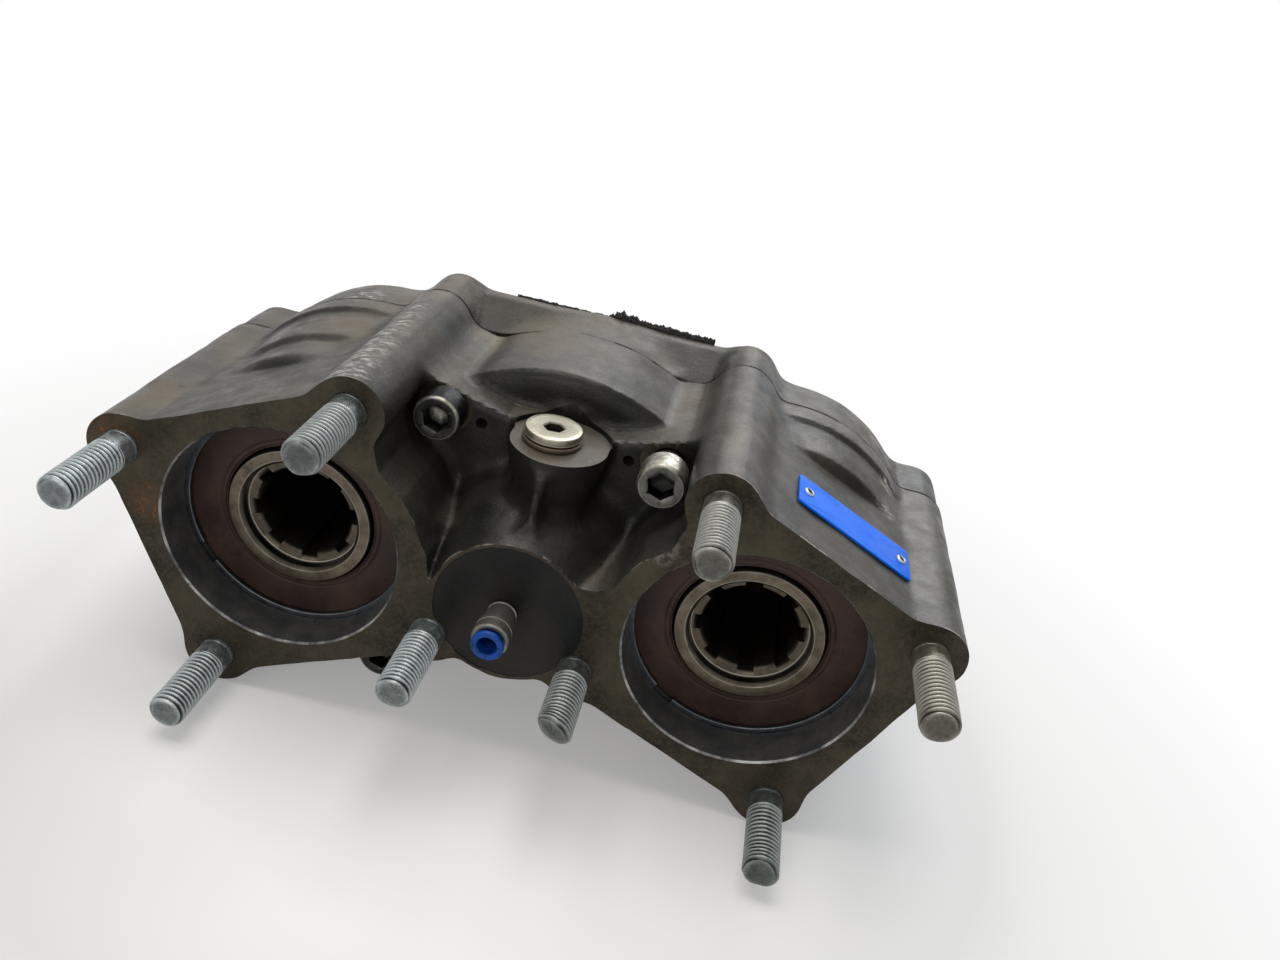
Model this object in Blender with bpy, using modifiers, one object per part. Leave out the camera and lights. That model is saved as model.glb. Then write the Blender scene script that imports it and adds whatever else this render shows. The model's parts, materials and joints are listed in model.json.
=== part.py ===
"""Twin-output power take-off unit with two direct-mount pump flanges.

The unit frame has X to the right through both output axes, Y back into the housing from the
front flange face, and Z up. Every part hangs on one empty that carries this frame.
"""
import math

import bmesh
import bpy

MM = 0.001
GAP = 0.3 * MM                    # clearance that touching pieces keep
OVER = 1.0 * MM                   # how far a cutter or a joined body runs past a face

# Gears and shaft lines
MODULE = 3.0 * MM
DRIVE_TEETH = 28
OUTPUT_TEETH = 24
INPUT_DROP = 5.0 * MM             # input axis below the output axes
GEAR_SPACE = 0.7 * MM             # from the front bearing of the drive to its gear
GEAR_TO_SEAM = 8.0 * MM
GEAR_WIDTH = 26.0 * MM
BACKLASH = 0.7 * MM

# Pump flanges
STUD_PITCH = 80.0 * MM
FLANGE_TURN = math.radians(24.0)
PILOT_RADIUS = 40.0 * MM
PILOT_DEPTH = 14.6 * MM
LOBE_RADIUS = 11.3 * MM
LOBE_BLEND = 11.5 * MM            # from a lobe's centre to where the flat wall starts
TOP_WALL = 47.0 * MM              # flat walls, measured from the output axis
OUTER_WALL = 48.5 * MM
LOWER_WALL = 47.5 * MM
STUD_RADIUS = 6.0 * MM
STUD_OUT = 33.0 * MM
STUD_IN = 22.0 * MM

# Housing
COVER_FLOOR = 6.1 * MM            # iron behind the rear bearings
COVER_TOP = 60.0 * MM
COVER_TOP_HALF = 50.0 * MM        # the straight top edge runs into the inner lobes
COVER_RISE = 8.0 * MM             # from the valley at the seam to the top edge
LUG_RADIUS = 12.0 * MM
RECESS_DEPTH = 35.0 * MM
DRUM_RADIUS = 65.8 * MM
DRUM_SETBACK = 11.3 * MM          # from the recess face to the drum's front
DRUM_FLAT = 61.0 * MM             # flat underside below the output axes
BULGE_RADIUS = 54.0 * MM
BULGE_START = 58.0 * MM
BULGE_RIM = 11.0 * MM
BULGE_STEP = 3.2 * MM
LEDGE_RADIUS = 48.8 * MM
LEDGE_START = 44.0 * MM
COVER_INSET = 0.8 * MM
SPIGOT_RADIUS = 42.0 * MM
SPIGOT_HEIGHT = 4.0 * MM
INPUT_OPENING = 31.0 * MM

# Actuator
BOSS_RADIUS = 26.0 * MM
BOSS_FOOT = 36.0 * MM
PISTON_BORE = 16.0 * MM
PISTON_FRONT = 11.0 * MM
PISTON_LENGTH = 7.0 * MM
PISTON_TRAVEL = 8.0 * MM
PISTON_GROOVE = 2.2 * MM          # depth of the seal's groove, and the land on each side of it
ROD_RADIUS = 6.0 * MM
SPRING_CLOSED = 10.6 * MM
SPRING_WIRE = 1.0 * MM
SPRING_TURNS = 4.5
GUIDE_LENGTH = 3.6 * MM
CHAMBER_FRONT = 8.0 * MM

# Indicator port and its plug
PORT_LEAD = 6.5 * MM              # the port's axis is this far in front of the recess face
PORT_BOSS_X = 2.5 * MM            # the boss was cast a little to the right of its bore
PORT_BOSS_RADIUS = 16.2 * MM
PORT_TOP = 45.5 * MM
PORT_BORE = 7.2 * MM
PLUG_COLLAR = 9.4 * MM
PLUG_COLLAR_HEIGHT = 3.0 * MM
PLUG_CHAMFER = 0.5 * MM
PLUG_THREAD_LENGTH = 12.0 * MM
PLUG_KEY = 6.0 * MM
PLUG_KEY_DEPTH = 6.0 * MM
WASHER_THICKNESS = 1.5 * MM

# Air fitting
FITTING_X = -1.5 * MM
FITTING_BODY = 8.0 * MM
FITTING_HEAD = 7.0 * MM
FITTING_BORE = 4.6 * MM
TUBE_BORE = 3.2 * MM
COLLET_TRAVEL = 1.2 * MM

# Fasteners
SCREW_RADIUS = 5.0 * MM
SCREW_HOLE = 5.5 * MM
SCREW_HEAD = 8.0 * MM
SCREW_HEAD_HEIGHT = 10.0 * MM
SCREW_LENGTH = 95.0 * MM
UPPER_SCREW = (38.0 * MM, 44.4 * MM)
LOWER_SCREW = (44.0 * MM, -46.5 * MM)
LOWER_SEAT_LEAD = 5.0 * MM        # the lower seats are this far in front of the recess face
SCREW_STANDOFF = {"upper_left": 0.0, "upper_right": 7.0 * MM, "lower_left": 8.0 * MM, "lower_right": 0.0}
COVER_CORNERS = ("inner_high", "outer_high", "outer_low")
COVER_SCREW_RADIUS = 4.0 * MM
COVER_SCREW_HEAD = 6.5 * MM
COVER_SCREW_HEIGHT = 8.0 * MM
COVER_SCREW_LENGTH = 30.0 * MM
COVER_SCREW_SINK = 9.0 * MM
SPOTFACE = 0.6 * MM
PIN_HOLE = 2.0 * MM
PIN_PLACE = (25.2 * MM, 41.7 * MM)
PIN_HOLE_DEPTH = 10.0 * MM

# Output shafts, bearings and seals
SHAFT_RADIUS = 25.0 * MM
SHAFT_START = 15.6 * MM
SHAFT_MOUTH = 20.0 * MM
SHOULDER_RADIUS = 29.0 * MM
SPLINE_MAJOR = 18.0 * MM
SPLINE_MINOR = 16.0 * MM
SPLINE_COUNT = 8
SPLINE_TOOTH = 6.0 * MM
SPLINE_START = 19.5 * MM
SPLINE_END = 70.0 * MM
SEAL_SPACE = 1.3 * MM             # from the seal to the front bearing
SEAL_WIDTH = 8.0 * MM
RING_WIDTH = 1.5 * MM
RING_GROOVE = 1.6 * MM            # depth of its groove in the bore
RING_RADIAL = 3.0 * MM
BEARING_RADIUS = 40.0 * MM
BEARING_WIDTH = 16.0 * MM
BEARING_SIDES = 16
BORE_SIDES = 32
DRIVE_BEARING_RADIUS = 36.0 * MM
DRIVE_BEARING_WIDTH = 12.0 * MM
GUIDE_STEP = 1.1 * MM             # from the rod guide to the front bearing of the drive

# Engagement sleeve
SLEEVE_MAJOR = 19.2 * MM
SLEEVE_MINOR = 17.4 * MM
SLEEVE_SPLINE_COUNT = 10
SLEEVE_INTO_GEAR = 6.0 * MM
SLEEVE_SINK = 15.0 * MM           # from the gearbox face to the sleeve's end
SLEEVE_BORE_MAJOR = 13.6 * MM
SLEEVE_BORE_MINOR = 12.0 * MM
SLEEVE_BORE_SPLINE_COUNT = 8
SLEEVE_FACE = 4.0 * MM

# Name plate
PLATE_LENGTH = 45.4 * MM
PLATE_WIDTH = 18.0 * MM
PLATE_THICKNESS = 0.8 * MM
PLATE_ALONG = 4.3 * MM
PLATE_DEPTH = 29.2 * MM
RIVET_PITCH = 38.0 * MM
RIVET_RADIUS = 1.9 * MM

# What is left of the gearbox joint, by its two ends and the heights of its lumps
GASKET_LEFT = 36.0 * MM
GASKET_RIGHT = 43.0 * MM
GASKET_LUMP = 4.0 * MM
GASKET_THICKNESS = 1.2 * MM

# Worked out from the sizes above
CENTRE_DISTANCE = MODULE * (DRIVE_TEETH + OUTPUT_TEETH) / 2
SPREAD = math.sqrt(CENTRE_DISTANCE ** 2 - INPUT_DROP ** 2)
HALF_PITCH = STUD_PITCH / 2
CORNER_LOW = HALF_PITCH * (math.sin(FLANGE_TURN) + math.cos(FLANGE_TURN))
AXIS_HEIGHT = CORNER_LOW + LOBE_RADIUS
SCREW_REACH = RECESS_DEPTH + SPOTFACE - GAP + SCREW_LENGTH
FRONT_Y = (STUD_OUT - SCREW_REACH) / 2
TRIM_HALF = 2 * SPREAD            # half width and half height of the blocks that trim the castings
DRUM_START = RECESS_DEPTH + DRUM_SETBACK
PORT_DEPTH = RECESS_DEPTH - PORT_LEAD
LOWER_SEAT = RECESS_DEPTH - LOWER_SEAT_LEAD
GUIDE_FRONT = PISTON_FRONT + PISTON_LENGTH + SPRING_CLOSED + PISTON_TRAVEL
DRIVE_FRONT_BEARING = GUIDE_FRONT + GUIDE_LENGTH + GUIDE_STEP
GEAR_FRONT = DRIVE_FRONT_BEARING + DRIVE_BEARING_WIDTH + GEAR_SPACE
GEAR_BACK = GEAR_FRONT + GEAR_WIDTH
SEAM_DEPTH = GEAR_BACK + GEAR_TO_SEAM
SEAL_START = PILOT_DEPTH + RING_WIDTH + 3 * GAP
FRONT_BEARING = SEAL_START + SEAL_WIDTH + SEAL_SPACE
REAR_BEARING = SEAM_DEPTH + GAP
HOUSING_DEPTH = REAR_BEARING + BEARING_WIDTH + 2 * GAP + COVER_FLOOR
SLEEVE_START = GEAR_FRONT + SLEEVE_INTO_GEAR
SLEEVE_END = HOUSING_DEPTH - SLEEVE_SINK
UNDERSIDE_HALF = LOWER_SCREW[0] + LUG_RADIUS
SLOPE = math.sin(FLANGE_TURN), math.cos(FLANGE_TURN)

# The flange's inner edge, from the low lobe up to the high one, on the right-hand wing
INNER_EDGE = [(28.0, 2.0), (28.4, 9.0), (31.0, 13.5), (34.6, 21.5), (38.0, 27.0), (42.6, 31.0),
              (46.6, 35.0), (48.3, 41.0)]
WEB_EDGE = [(16.0, 10.0), (29.5, 13.0), (34.0, -4.0), (32.0, -16.0), (20.0, -22.0), (8.0, -20.0)]
LEFT_WEB_DEPTH = 14.0 * MM

# The middle body's top, from beside the port to the right-hand lobe: it covers the upper screws
CROWN_EDGE = [(17.0, 46.3), (28.8, 49.2), (38.0, 52.2), (48.0, 54.6)]

FACE_BACK = (math.radians(-90), 0, 0)       # turns local +Z to the housing's depth
FACE_FRONT = (math.radians(90), 0, 0)       # turns a drawn outline upright, seen from the front

PAINT = {
    "cast_grey": ((0.10, 0.10, 0.10), 0.45, 0.2),
    "cover_grey": ((0.11, 0.11, 0.11), 0.45, 0.2),
    "zinc": ((0.42, 0.44, 0.44), 0.42, 0.9),
    "steel": ((0.36, 0.34, 0.31), 0.32, 0.95),
    "screw_steel": ((0.30, 0.30, 0.28), 0.36, 0.9),
    "bearing_steel": ((0.50, 0.50, 0.50), 0.25, 1.0),
    "seal_rubber": ((0.10, 0.055, 0.05), 0.6, 0.0),
    "black_rubber": ((0.02, 0.02, 0.02), 0.7, 0.0),
    "plug_brass": ((0.48, 0.42, 0.34), 0.35, 0.9),
    "plate_blue": ((0.02, 0.10, 0.55), 0.35, 0.1),
    "collet_blue": ((0.03, 0.13, 0.42), 0.4, 0.0),
    "spring_steel": ((0.35, 0.35, 0.36), 0.3, 1.0),
    "sealant": ((0.015, 0.015, 0.015), 0.8, 0.0),
}


def clear_scene():
    for item in list(bpy.data.objects):
        bpy.data.objects.remove(item, do_unlink=True)


def new_collection(name, parent=None):
    group = bpy.data.collections.new(name)
    (parent or bpy.context.scene.collection).children.link(group)
    return group


def material(name):
    found = bpy.data.materials.get(name)
    if found:
        return found
    colour, roughness, metallic = PAINT[name]
    made = bpy.data.materials.new(name)
    made.use_nodes = True
    shader = made.node_tree.nodes["Principled BSDF"]
    shader.inputs["Base Color"].default_value = (*colour, 1.0)
    shader.inputs["Roughness"].default_value = roughness
    shader.inputs["Metallic"].default_value = metallic
    return made


def place(name, mesh, group, location, rotation, finish=None):
    item = bpy.data.objects.new(name, mesh)
    group.objects.link(item)
    item.parent = unit_frame
    item.location = location
    item.rotation_euler = rotation
    if finish:
        mesh.materials.clear()
        mesh.materials.append(material(finish))
        mesh.shade_smooth()
        mesh.set_sharp_from_angle(angle=math.radians(35))
    else:
        item.hide_render = True
        item.display_type = "WIRE"
    return item


def settle(item, group):
    """Turns a curve or a modified object into a plain welded mesh object."""
    bpy.context.view_layer.update()
    mesh = bpy.data.meshes.new_from_object(item.evaluated_get(bpy.context.evaluated_depsgraph_get()))
    edit = bmesh.new()
    edit.from_mesh(mesh)
    bmesh.ops.remove_doubles(edit, verts=edit.verts, dist=0.00001)
    if item.modifiers and item.modifiers[0].type == "BOOLEAN":
        bmesh.ops.dissolve_limit(edit, angle_limit=math.radians(0.05), verts=edit.verts, edges=edit.edges)
    edit.to_mesh(mesh)
    edit.free()
    name, pose, parent = item.name, item.matrix_world.copy(), item.parent
    kept = item.hide_render
    bpy.data.objects.remove(item, do_unlink=True)
    made = bpy.data.objects.new(name, mesh)
    group.objects.link(made)
    made.parent = parent
    made.matrix_world = pose
    made.hide_render = kept
    made.display_type = "WIRE" if kept else "TEXTURED"
    return made


def shade(item, finish):
    item.data.materials.clear()
    item.data.materials.append(material(finish))
    item.data.shade_smooth()
    item.data.set_sharp_from_angle(angle=math.radians(35))
    item.hide_render = False
    item.display_type = "TEXTURED"
    return item


def drum(name, group, front_radius, back_radius, start, end, at=(0.0, 0.0), sides=BORE_SIDES, finish=None):
    """A cylinder or cone along the depth, from start to end."""
    edit = bmesh.new()
    bmesh.ops.create_cone(edit, cap_ends=True, segments=sides, radius1=front_radius,
                          radius2=back_radius, depth=end - start)
    mesh = bpy.data.meshes.new(name)
    edit.to_mesh(mesh)
    edit.free()
    return place(name, mesh, group, (at[0], (start + end) / 2, at[1]), FACE_BACK, finish)


def box(name, group, low, high, finish=None):
    edit = bmesh.new()
    bmesh.ops.create_cube(edit, size=1.0)
    size = [top - bottom for bottom, top in zip(low, high)]
    bmesh.ops.scale(edit, vec=size, verts=edit.verts)
    mesh = bpy.data.meshes.new(name)
    edit.to_mesh(mesh)
    edit.free()
    middle = [(bottom + top) / 2 for bottom, top in zip(low, high)]
    return place(name, mesh, group, middle, (0, 0, 0), finish)


def turned(name, group, profile, at=(0.0, 0.0, 0.0), sides=BORE_SIDES, finish=None, rotation=FACE_BACK):
    """Revolves (radius, depth) points, which run down the outer side from back to front."""
    mesh = bpy.data.meshes.new(name)
    points = [(radius, 0.0, depth) for radius, depth in profile]
    closed = profile[0][0] > 0 or profile[-1][0] > 0
    edges = [(i, i + 1) for i in range(len(points) - 1)]
    if closed:
        edges.append((len(points) - 1, 0))
    mesh.from_pydata(points, edges, [])
    item = place(name, mesh, group, at, rotation)
    screw = item.modifiers.new("turn", "SCREW")
    screw.axis = "Z"
    screw.steps = sides
    screw.render_steps = sides
    screw.use_merge_vertices = True
    screw.merge_threshold = 0.00001
    item = settle(item, group)
    return shade(item, finish) if finish else item


def slab(name, group, outlines, start, end, at=(0.0, 0.0), finish=None):
    """A flat outline, with holes as further loops, pushed through the depth from start to end."""
    curve = bpy.data.curves.new(name, "CURVE")
    curve.dimensions = "2D"
    curve.fill_mode = "BOTH"
    curve.extrude = (end - start) / 2
    for outline in outlines:
        spline = curve.splines.new("POLY")
        spline.points.add(len(outline) - 1)
        for point, (x, z) in zip(spline.points, outline):
            point.co = (x, z, 0.0, 1.0)
        spline.use_cyclic_u = True
    item = bpy.data.objects.new(name, curve)
    group.objects.link(item)
    item.parent = unit_frame
    item.location = (at[0], (start + end) / 2, at[1])
    item.rotation_euler = FACE_FRONT
    item.hide_render = True
    item = settle(item, group)
    return shade(item, finish) if finish else item


def combine(item, group, operation):
    """Joins to, or cuts from, the item every solid in the group."""
    step = item.modifiers.new(group.name, "BOOLEAN")
    step.operation = operation
    step.operand_type = "COLLECTION"
    step.collection = group
    step.solver = "EXACT"
    return step


def arc(centre, radius, start_deg, end_deg, steps):
    """Points on an arc, in the wing's turned axes."""
    points = []
    for i in range(steps + 1):
        angle = math.radians(start_deg + (end_deg - start_deg) * i / steps)
        points.append((centre[0] + radius * math.cos(angle), centre[1] + radius * math.sin(angle)))
    return points


def wing_outline(side, inset=0.0, inner=True):
    """Flange outline: four lobes about the stud square, flat walls between, the inner edge concave."""
    half = HALF_PITCH
    lobe = LOBE_RADIUS - inset
    flat = half - LOBE_BLEND
    top, outer, lower = TOP_WALL - inset, OUTER_WALL - inset, LOWER_WALL - inset
    turned_points = arc((-half, half), lobe, 224, 50, 7)
    turned_points += [(-flat, top), (flat, top)]
    turned_points += arc((half, half), lobe, 130, -40, 7)
    turned_points += [(outer, flat), (outer, -flat)]
    turned_points += arc((half, -half), lobe, 40, -130, 7)
    turned_points += [(flat, -lower), (-flat, -lower)]
    turned_points += arc((-half, -half), lobe, 310, 100, 8)
    sine, cosine = SLOPE
    points = [(u * cosine + w * sine, w * cosine - u * sine) for u, w in turned_points]
    if inner:
        points += [(x * MM - SPREAD, z * MM) for x, z in INNER_EDGE]
    return points if side > 0 else [(-x, z) for x, z in reversed(points)]


def stud_places(side):
    """The stud square's corners about one output axis."""
    sine, cosine = SLOPE
    corners = [("inner_high", -1, 1), ("outer_high", 1, 1), ("outer_low", 1, -1), ("inner_low", -1, -1)]
    places = {}
    for name, u, w in corners:
        x = HALF_PITCH * (u * cosine + w * sine)
        z = HALF_PITCH * (w * cosine - u * sine)
        places[name] = (side * (SPREAD + x), z)
    return places


def gear_outline(teeth):
    """Involute teeth of standard height, thinned on both flanks for backlash."""
    pitch_radius = MODULE * teeth / 2
    base = pitch_radius * math.cos(math.radians(20))
    tip, root = pitch_radius + MODULE, pitch_radius - 1.25 * MODULE

    def roll(radius):
        angle = math.acos(min(1.0, base / radius))
        return math.tan(angle) - angle

    half_tooth = math.pi / teeth / 2 - BACKLASH / 4 / pitch_radius
    flank = []
    for radius in (root, pitch_radius, tip):
        flank.append((radius, half_tooth + roll(pitch_radius) - roll(max(radius, base))))
    points = []
    for tooth in range(teeth):
        middle = 2 * math.pi * tooth / teeth
        for radius, spread in flank:
            points.append((radius * math.cos(middle - spread), radius * math.sin(middle - spread)))
        for radius, spread in reversed(flank):
            points.append((radius * math.cos(middle + spread), radius * math.sin(middle + spread)))
    return points


def spline_outline(low, high, count, tooth, turn=math.radians(9)):
    """A straight-sided spline: slots of the given width between the low and the high circle."""
    points = []
    for i in range(count):
        middle = turn + 2 * math.pi * i / count
        for radius, way in ((low, -1), (high, -1), (high, 1), (low, 1)):
            half = math.asin(tooth / 2 / radius)
            points.append((radius * math.cos(middle + way * half), radius * math.sin(middle + way * half)))
        points.append((low * math.cos(middle + math.pi / count), low * math.sin(middle + math.pi / count)))
    return points


def rotate(points, angle):
    sine, cosine = math.sin(angle), math.cos(angle)
    return [(x * cosine - y * sine, x * sine + y * cosine) for x, y in points]


def wing_axis(side):
    return side * SPREAD, 0.0


def make_front_housing():
    """The casting: two flanged wings, the drum between them, the actuator boss and the port boss."""
    bodies = new_collection("front_housing_bodies", cutters)
    cuts = new_collection("front_housing_cuts", cutters)
    housing = slab("front_housing", parts, [wing_outline(1)], -OVER, SEAM_DEPTH + OVER, wing_axis(1))
    slab("left_wing", bodies, [wing_outline(-1)], -OVER, SEAM_DEPTH + OVER, wing_axis(-1))
    for side, name in ((1, "right"), (-1, "left")):
        rim_start = SEAM_DEPTH - BULGE_RIM
        bulge = [(0, SEAM_DEPTH + OVER), (BULGE_RADIUS, SEAM_DEPTH + OVER), (BULGE_RADIUS, rim_start),
                 (BULGE_RADIUS - 1.6 * MM, rim_start - 2.5 * MM),
                 (BULGE_RADIUS - BULGE_STEP, BULGE_START + 1.5 * MM),
                 (BULGE_RADIUS - BULGE_STEP - 1.5 * MM, BULGE_START), (0, BULGE_START)]
        turned(name + "_bulge", bodies, bulge, (wing_axis(side)[0], 0, 0))
        x, z = LOWER_SCREW
        drum(name + "_lower_lug", bodies, LUG_RADIUS - 1.0 * MM, LUG_RADIUS, LOWER_SEAT - SPOTFACE,
             SEAM_DEPTH + OVER, (side * x, z), 20)
        web_start = -OVER if side > 0 else LEFT_WEB_DEPTH
        web = [(side * a * MM, b * MM) for a, b in WEB_EDGE]
        slab(name + "_web", bodies, [web], web_start, RECESS_DEPTH + 6.0 * MM)
    drum("left_ledge", bodies, LEDGE_RADIUS, LEDGE_RADIUS + 0.8 * MM, LEDGE_START, BULGE_START + OVER,
         wing_axis(-1))
    half = [(x * MM, z * MM) for x, z in CROWN_EDGE]
    half += [(half[-1][0], -30.0 * MM), (32.0 * MM, -DRUM_FLAT + 10.0 * MM)]
    crown = half + [(-x, z) for x, z in reversed(half)]
    slab("crown", bodies, [crown], RECESS_DEPTH, SEAM_DEPTH + OVER)
    body = [(0, SEAM_DEPTH + OVER), (DRUM_RADIUS, SEAM_DEPTH + OVER), (DRUM_RADIUS, DRUM_START + 2.6 * MM),
            (DRUM_RADIUS - 1.6 * MM, DRUM_START + 0.8 * MM), (DRUM_RADIUS - 5.0 * MM, DRUM_START),
            (0, DRUM_START)]
    turned("middle_drum", bodies, body, (0, 0, -INPUT_DROP), 36)
    drum("actuator_boss", bodies, BOSS_RADIUS, BOSS_FOOT + 0.5 * MM, -OVER, RECESS_DEPTH + OVER,
         (0, -INPUT_DROP))
    boss = [(0, PORT_TOP + OVER), (PORT_BOSS_RADIUS, PORT_TOP + OVER),
            (PORT_BOSS_RADIUS - 1.0 * MM, PORT_TOP - 8.0 * MM),
            (PORT_BOSS_RADIUS - 8.0 * MM, 12.0 * MM), (0, 12.0 * MM)]
    turned("port_boss", bodies, boss, (PORT_BOSS_X, PORT_DEPTH, 0), 28, rotation=(0, 0, 0))
    box("centre_rib", bodies, (-2.5 * MM, 7.0 * MM, 14.0 * MM), (2.5 * MM, PORT_DEPTH, 38.0 * MM))
    combine(housing, bodies, "UNION")

    far = TRIM_HALF
    box("front_trim", cuts, (-far, -20.0 * MM, -far), (far, 0, far))
    box("seam_trim", cuts, (-far, SEAM_DEPTH, -far), (far, SEAM_DEPTH + 20.0 * MM, far))
    box("underside_trim", cuts, (-UNDERSIDE_HALF, -10.0 * MM, -far),
        (UNDERSIDE_HALF, SEAM_DEPTH + 10.0 * MM, -DRUM_FLAT))
    spot = PORT_BOSS_RADIUS + 1.2 * MM
    turned("port_spotface", cuts, [(0, PORT_TOP + 30.0 * MM), (spot, PORT_TOP + 30.0 * MM), (spot, PORT_TOP),
                                   (0, PORT_TOP)], (PORT_BOSS_X, PORT_DEPTH, 0), 28, rotation=(0, 0, 0))
    for side, name in ((1, "right"), (-1, "left")):
        bore = [(0, SEAM_DEPTH + OVER), (wall_radius(OUTPUT_TEETH), SEAM_DEPTH + OVER),
                (wall_radius(OUTPUT_TEETH), FRONT_BEARING + BEARING_WIDTH + 4.0 * MM),
                (BEARING_RADIUS, FRONT_BEARING + BEARING_WIDTH + 4.0 * MM),
                (BEARING_RADIUS, PILOT_DEPTH + 2 * GAP + RING_WIDTH),
                (BEARING_RADIUS + RING_GROOVE, PILOT_DEPTH + 2 * GAP + RING_WIDTH),
                (BEARING_RADIUS + RING_GROOVE, PILOT_DEPTH), (PILOT_RADIUS, PILOT_DEPTH),
                (PILOT_RADIUS, 0.9 * MM), (PILOT_RADIUS + 1.9 * MM, -OVER), (0, -OVER)]
        turned(name + "_output_bore", cuts, bore, (wing_axis(side)[0], 0, 0))
        for corner, spot_at in stud_places(side).items():
            drum(name + "_stud_hole_" + corner, cuts, STUD_RADIUS + GAP, STUD_RADIUS + GAP, -OVER,
                 STUD_IN + OVER, spot_at, 12)
            if corner in COVER_CORNERS:
                drum(name + "_cover_thread_" + corner, cuts, COVER_SCREW_RADIUS + GAP,
                     COVER_SCREW_RADIUS + GAP, SEAM_DEPTH - 23.0 * MM, SEAM_DEPTH + OVER, spot_at, 10)
        for at, row in ((UPPER_SCREW, "upper"), (LOWER_SCREW, "lower")):
            drum(name + "_screw_hole_" + row, cuts, SCREW_HOLE, SCREW_HOLE, 5.0 * MM, SEAM_DEPTH + OVER,
                 (side * at[0], at[1]), 12)
        x, z = UPPER_SCREW
        drum(name + "_head_clearance", cuts, SCREW_HEAD + 1.6 * MM, SCREW_HEAD + 1.6 * MM, -OVER,
             RECESS_DEPTH + SPOTFACE, (side * x, z), 20)
        x, z = LOWER_SCREW
        drum(name + "_low_head_clearance", cuts, SCREW_HEAD + 0.8 * MM, SCREW_HEAD + 0.8 * MM, -OVER,
             LOWER_SEAT, (side * x, z), 20)
        drum(name + "_pin_hole", cuts, PIN_HOLE, PIN_HOLE, RECESS_DEPTH - 6.0 * MM,
             RECESS_DEPTH + PIN_HOLE_DEPTH, (side * PIN_PLACE[0], PIN_PLACE[1]), 10)
    inner = [(0, SEAM_DEPTH + OVER), (wall_radius(DRIVE_TEETH), SEAM_DEPTH + OVER),
             (wall_radius(DRIVE_TEETH), DRIVE_FRONT_BEARING + DRIVE_BEARING_WIDTH - GAP),
             (DRIVE_BEARING_RADIUS, DRIVE_FRONT_BEARING + DRIVE_BEARING_WIDTH - GAP),
             (DRIVE_BEARING_RADIUS, DRIVE_FRONT_BEARING - GAP), (PISTON_BORE, DRIVE_FRONT_BEARING - GAP),
             (PISTON_BORE, CHAMBER_FRONT), (0, CHAMBER_FRONT)]
    turned("input_bore", cuts, inner, (0, 0, -INPUT_DROP))
    drum("air_port", cuts, FITTING_BORE, FITTING_BORE, -OVER, CHAMBER_FRONT + OVER,
         (FITTING_X, -INPUT_DROP), 12)
    port = [(0, PORT_TOP + OVER), (PORT_BORE, PORT_TOP + OVER), (PORT_BORE, 0), (0, 0)]
    turned("port_bore", cuts, port, (0, PORT_DEPTH, 0), 16, rotation=(0, 0, 0))
    combine(housing, cuts, "DIFFERENCE")
    return shade(settle(housing, parts), "cast_grey")


def wall_radius(teeth):
    """Radius of the chamber round a gear: its tip circle and 3 mm of air."""
    return MODULE * (teeth / 2 + 1) + 3.0 * MM


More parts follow.
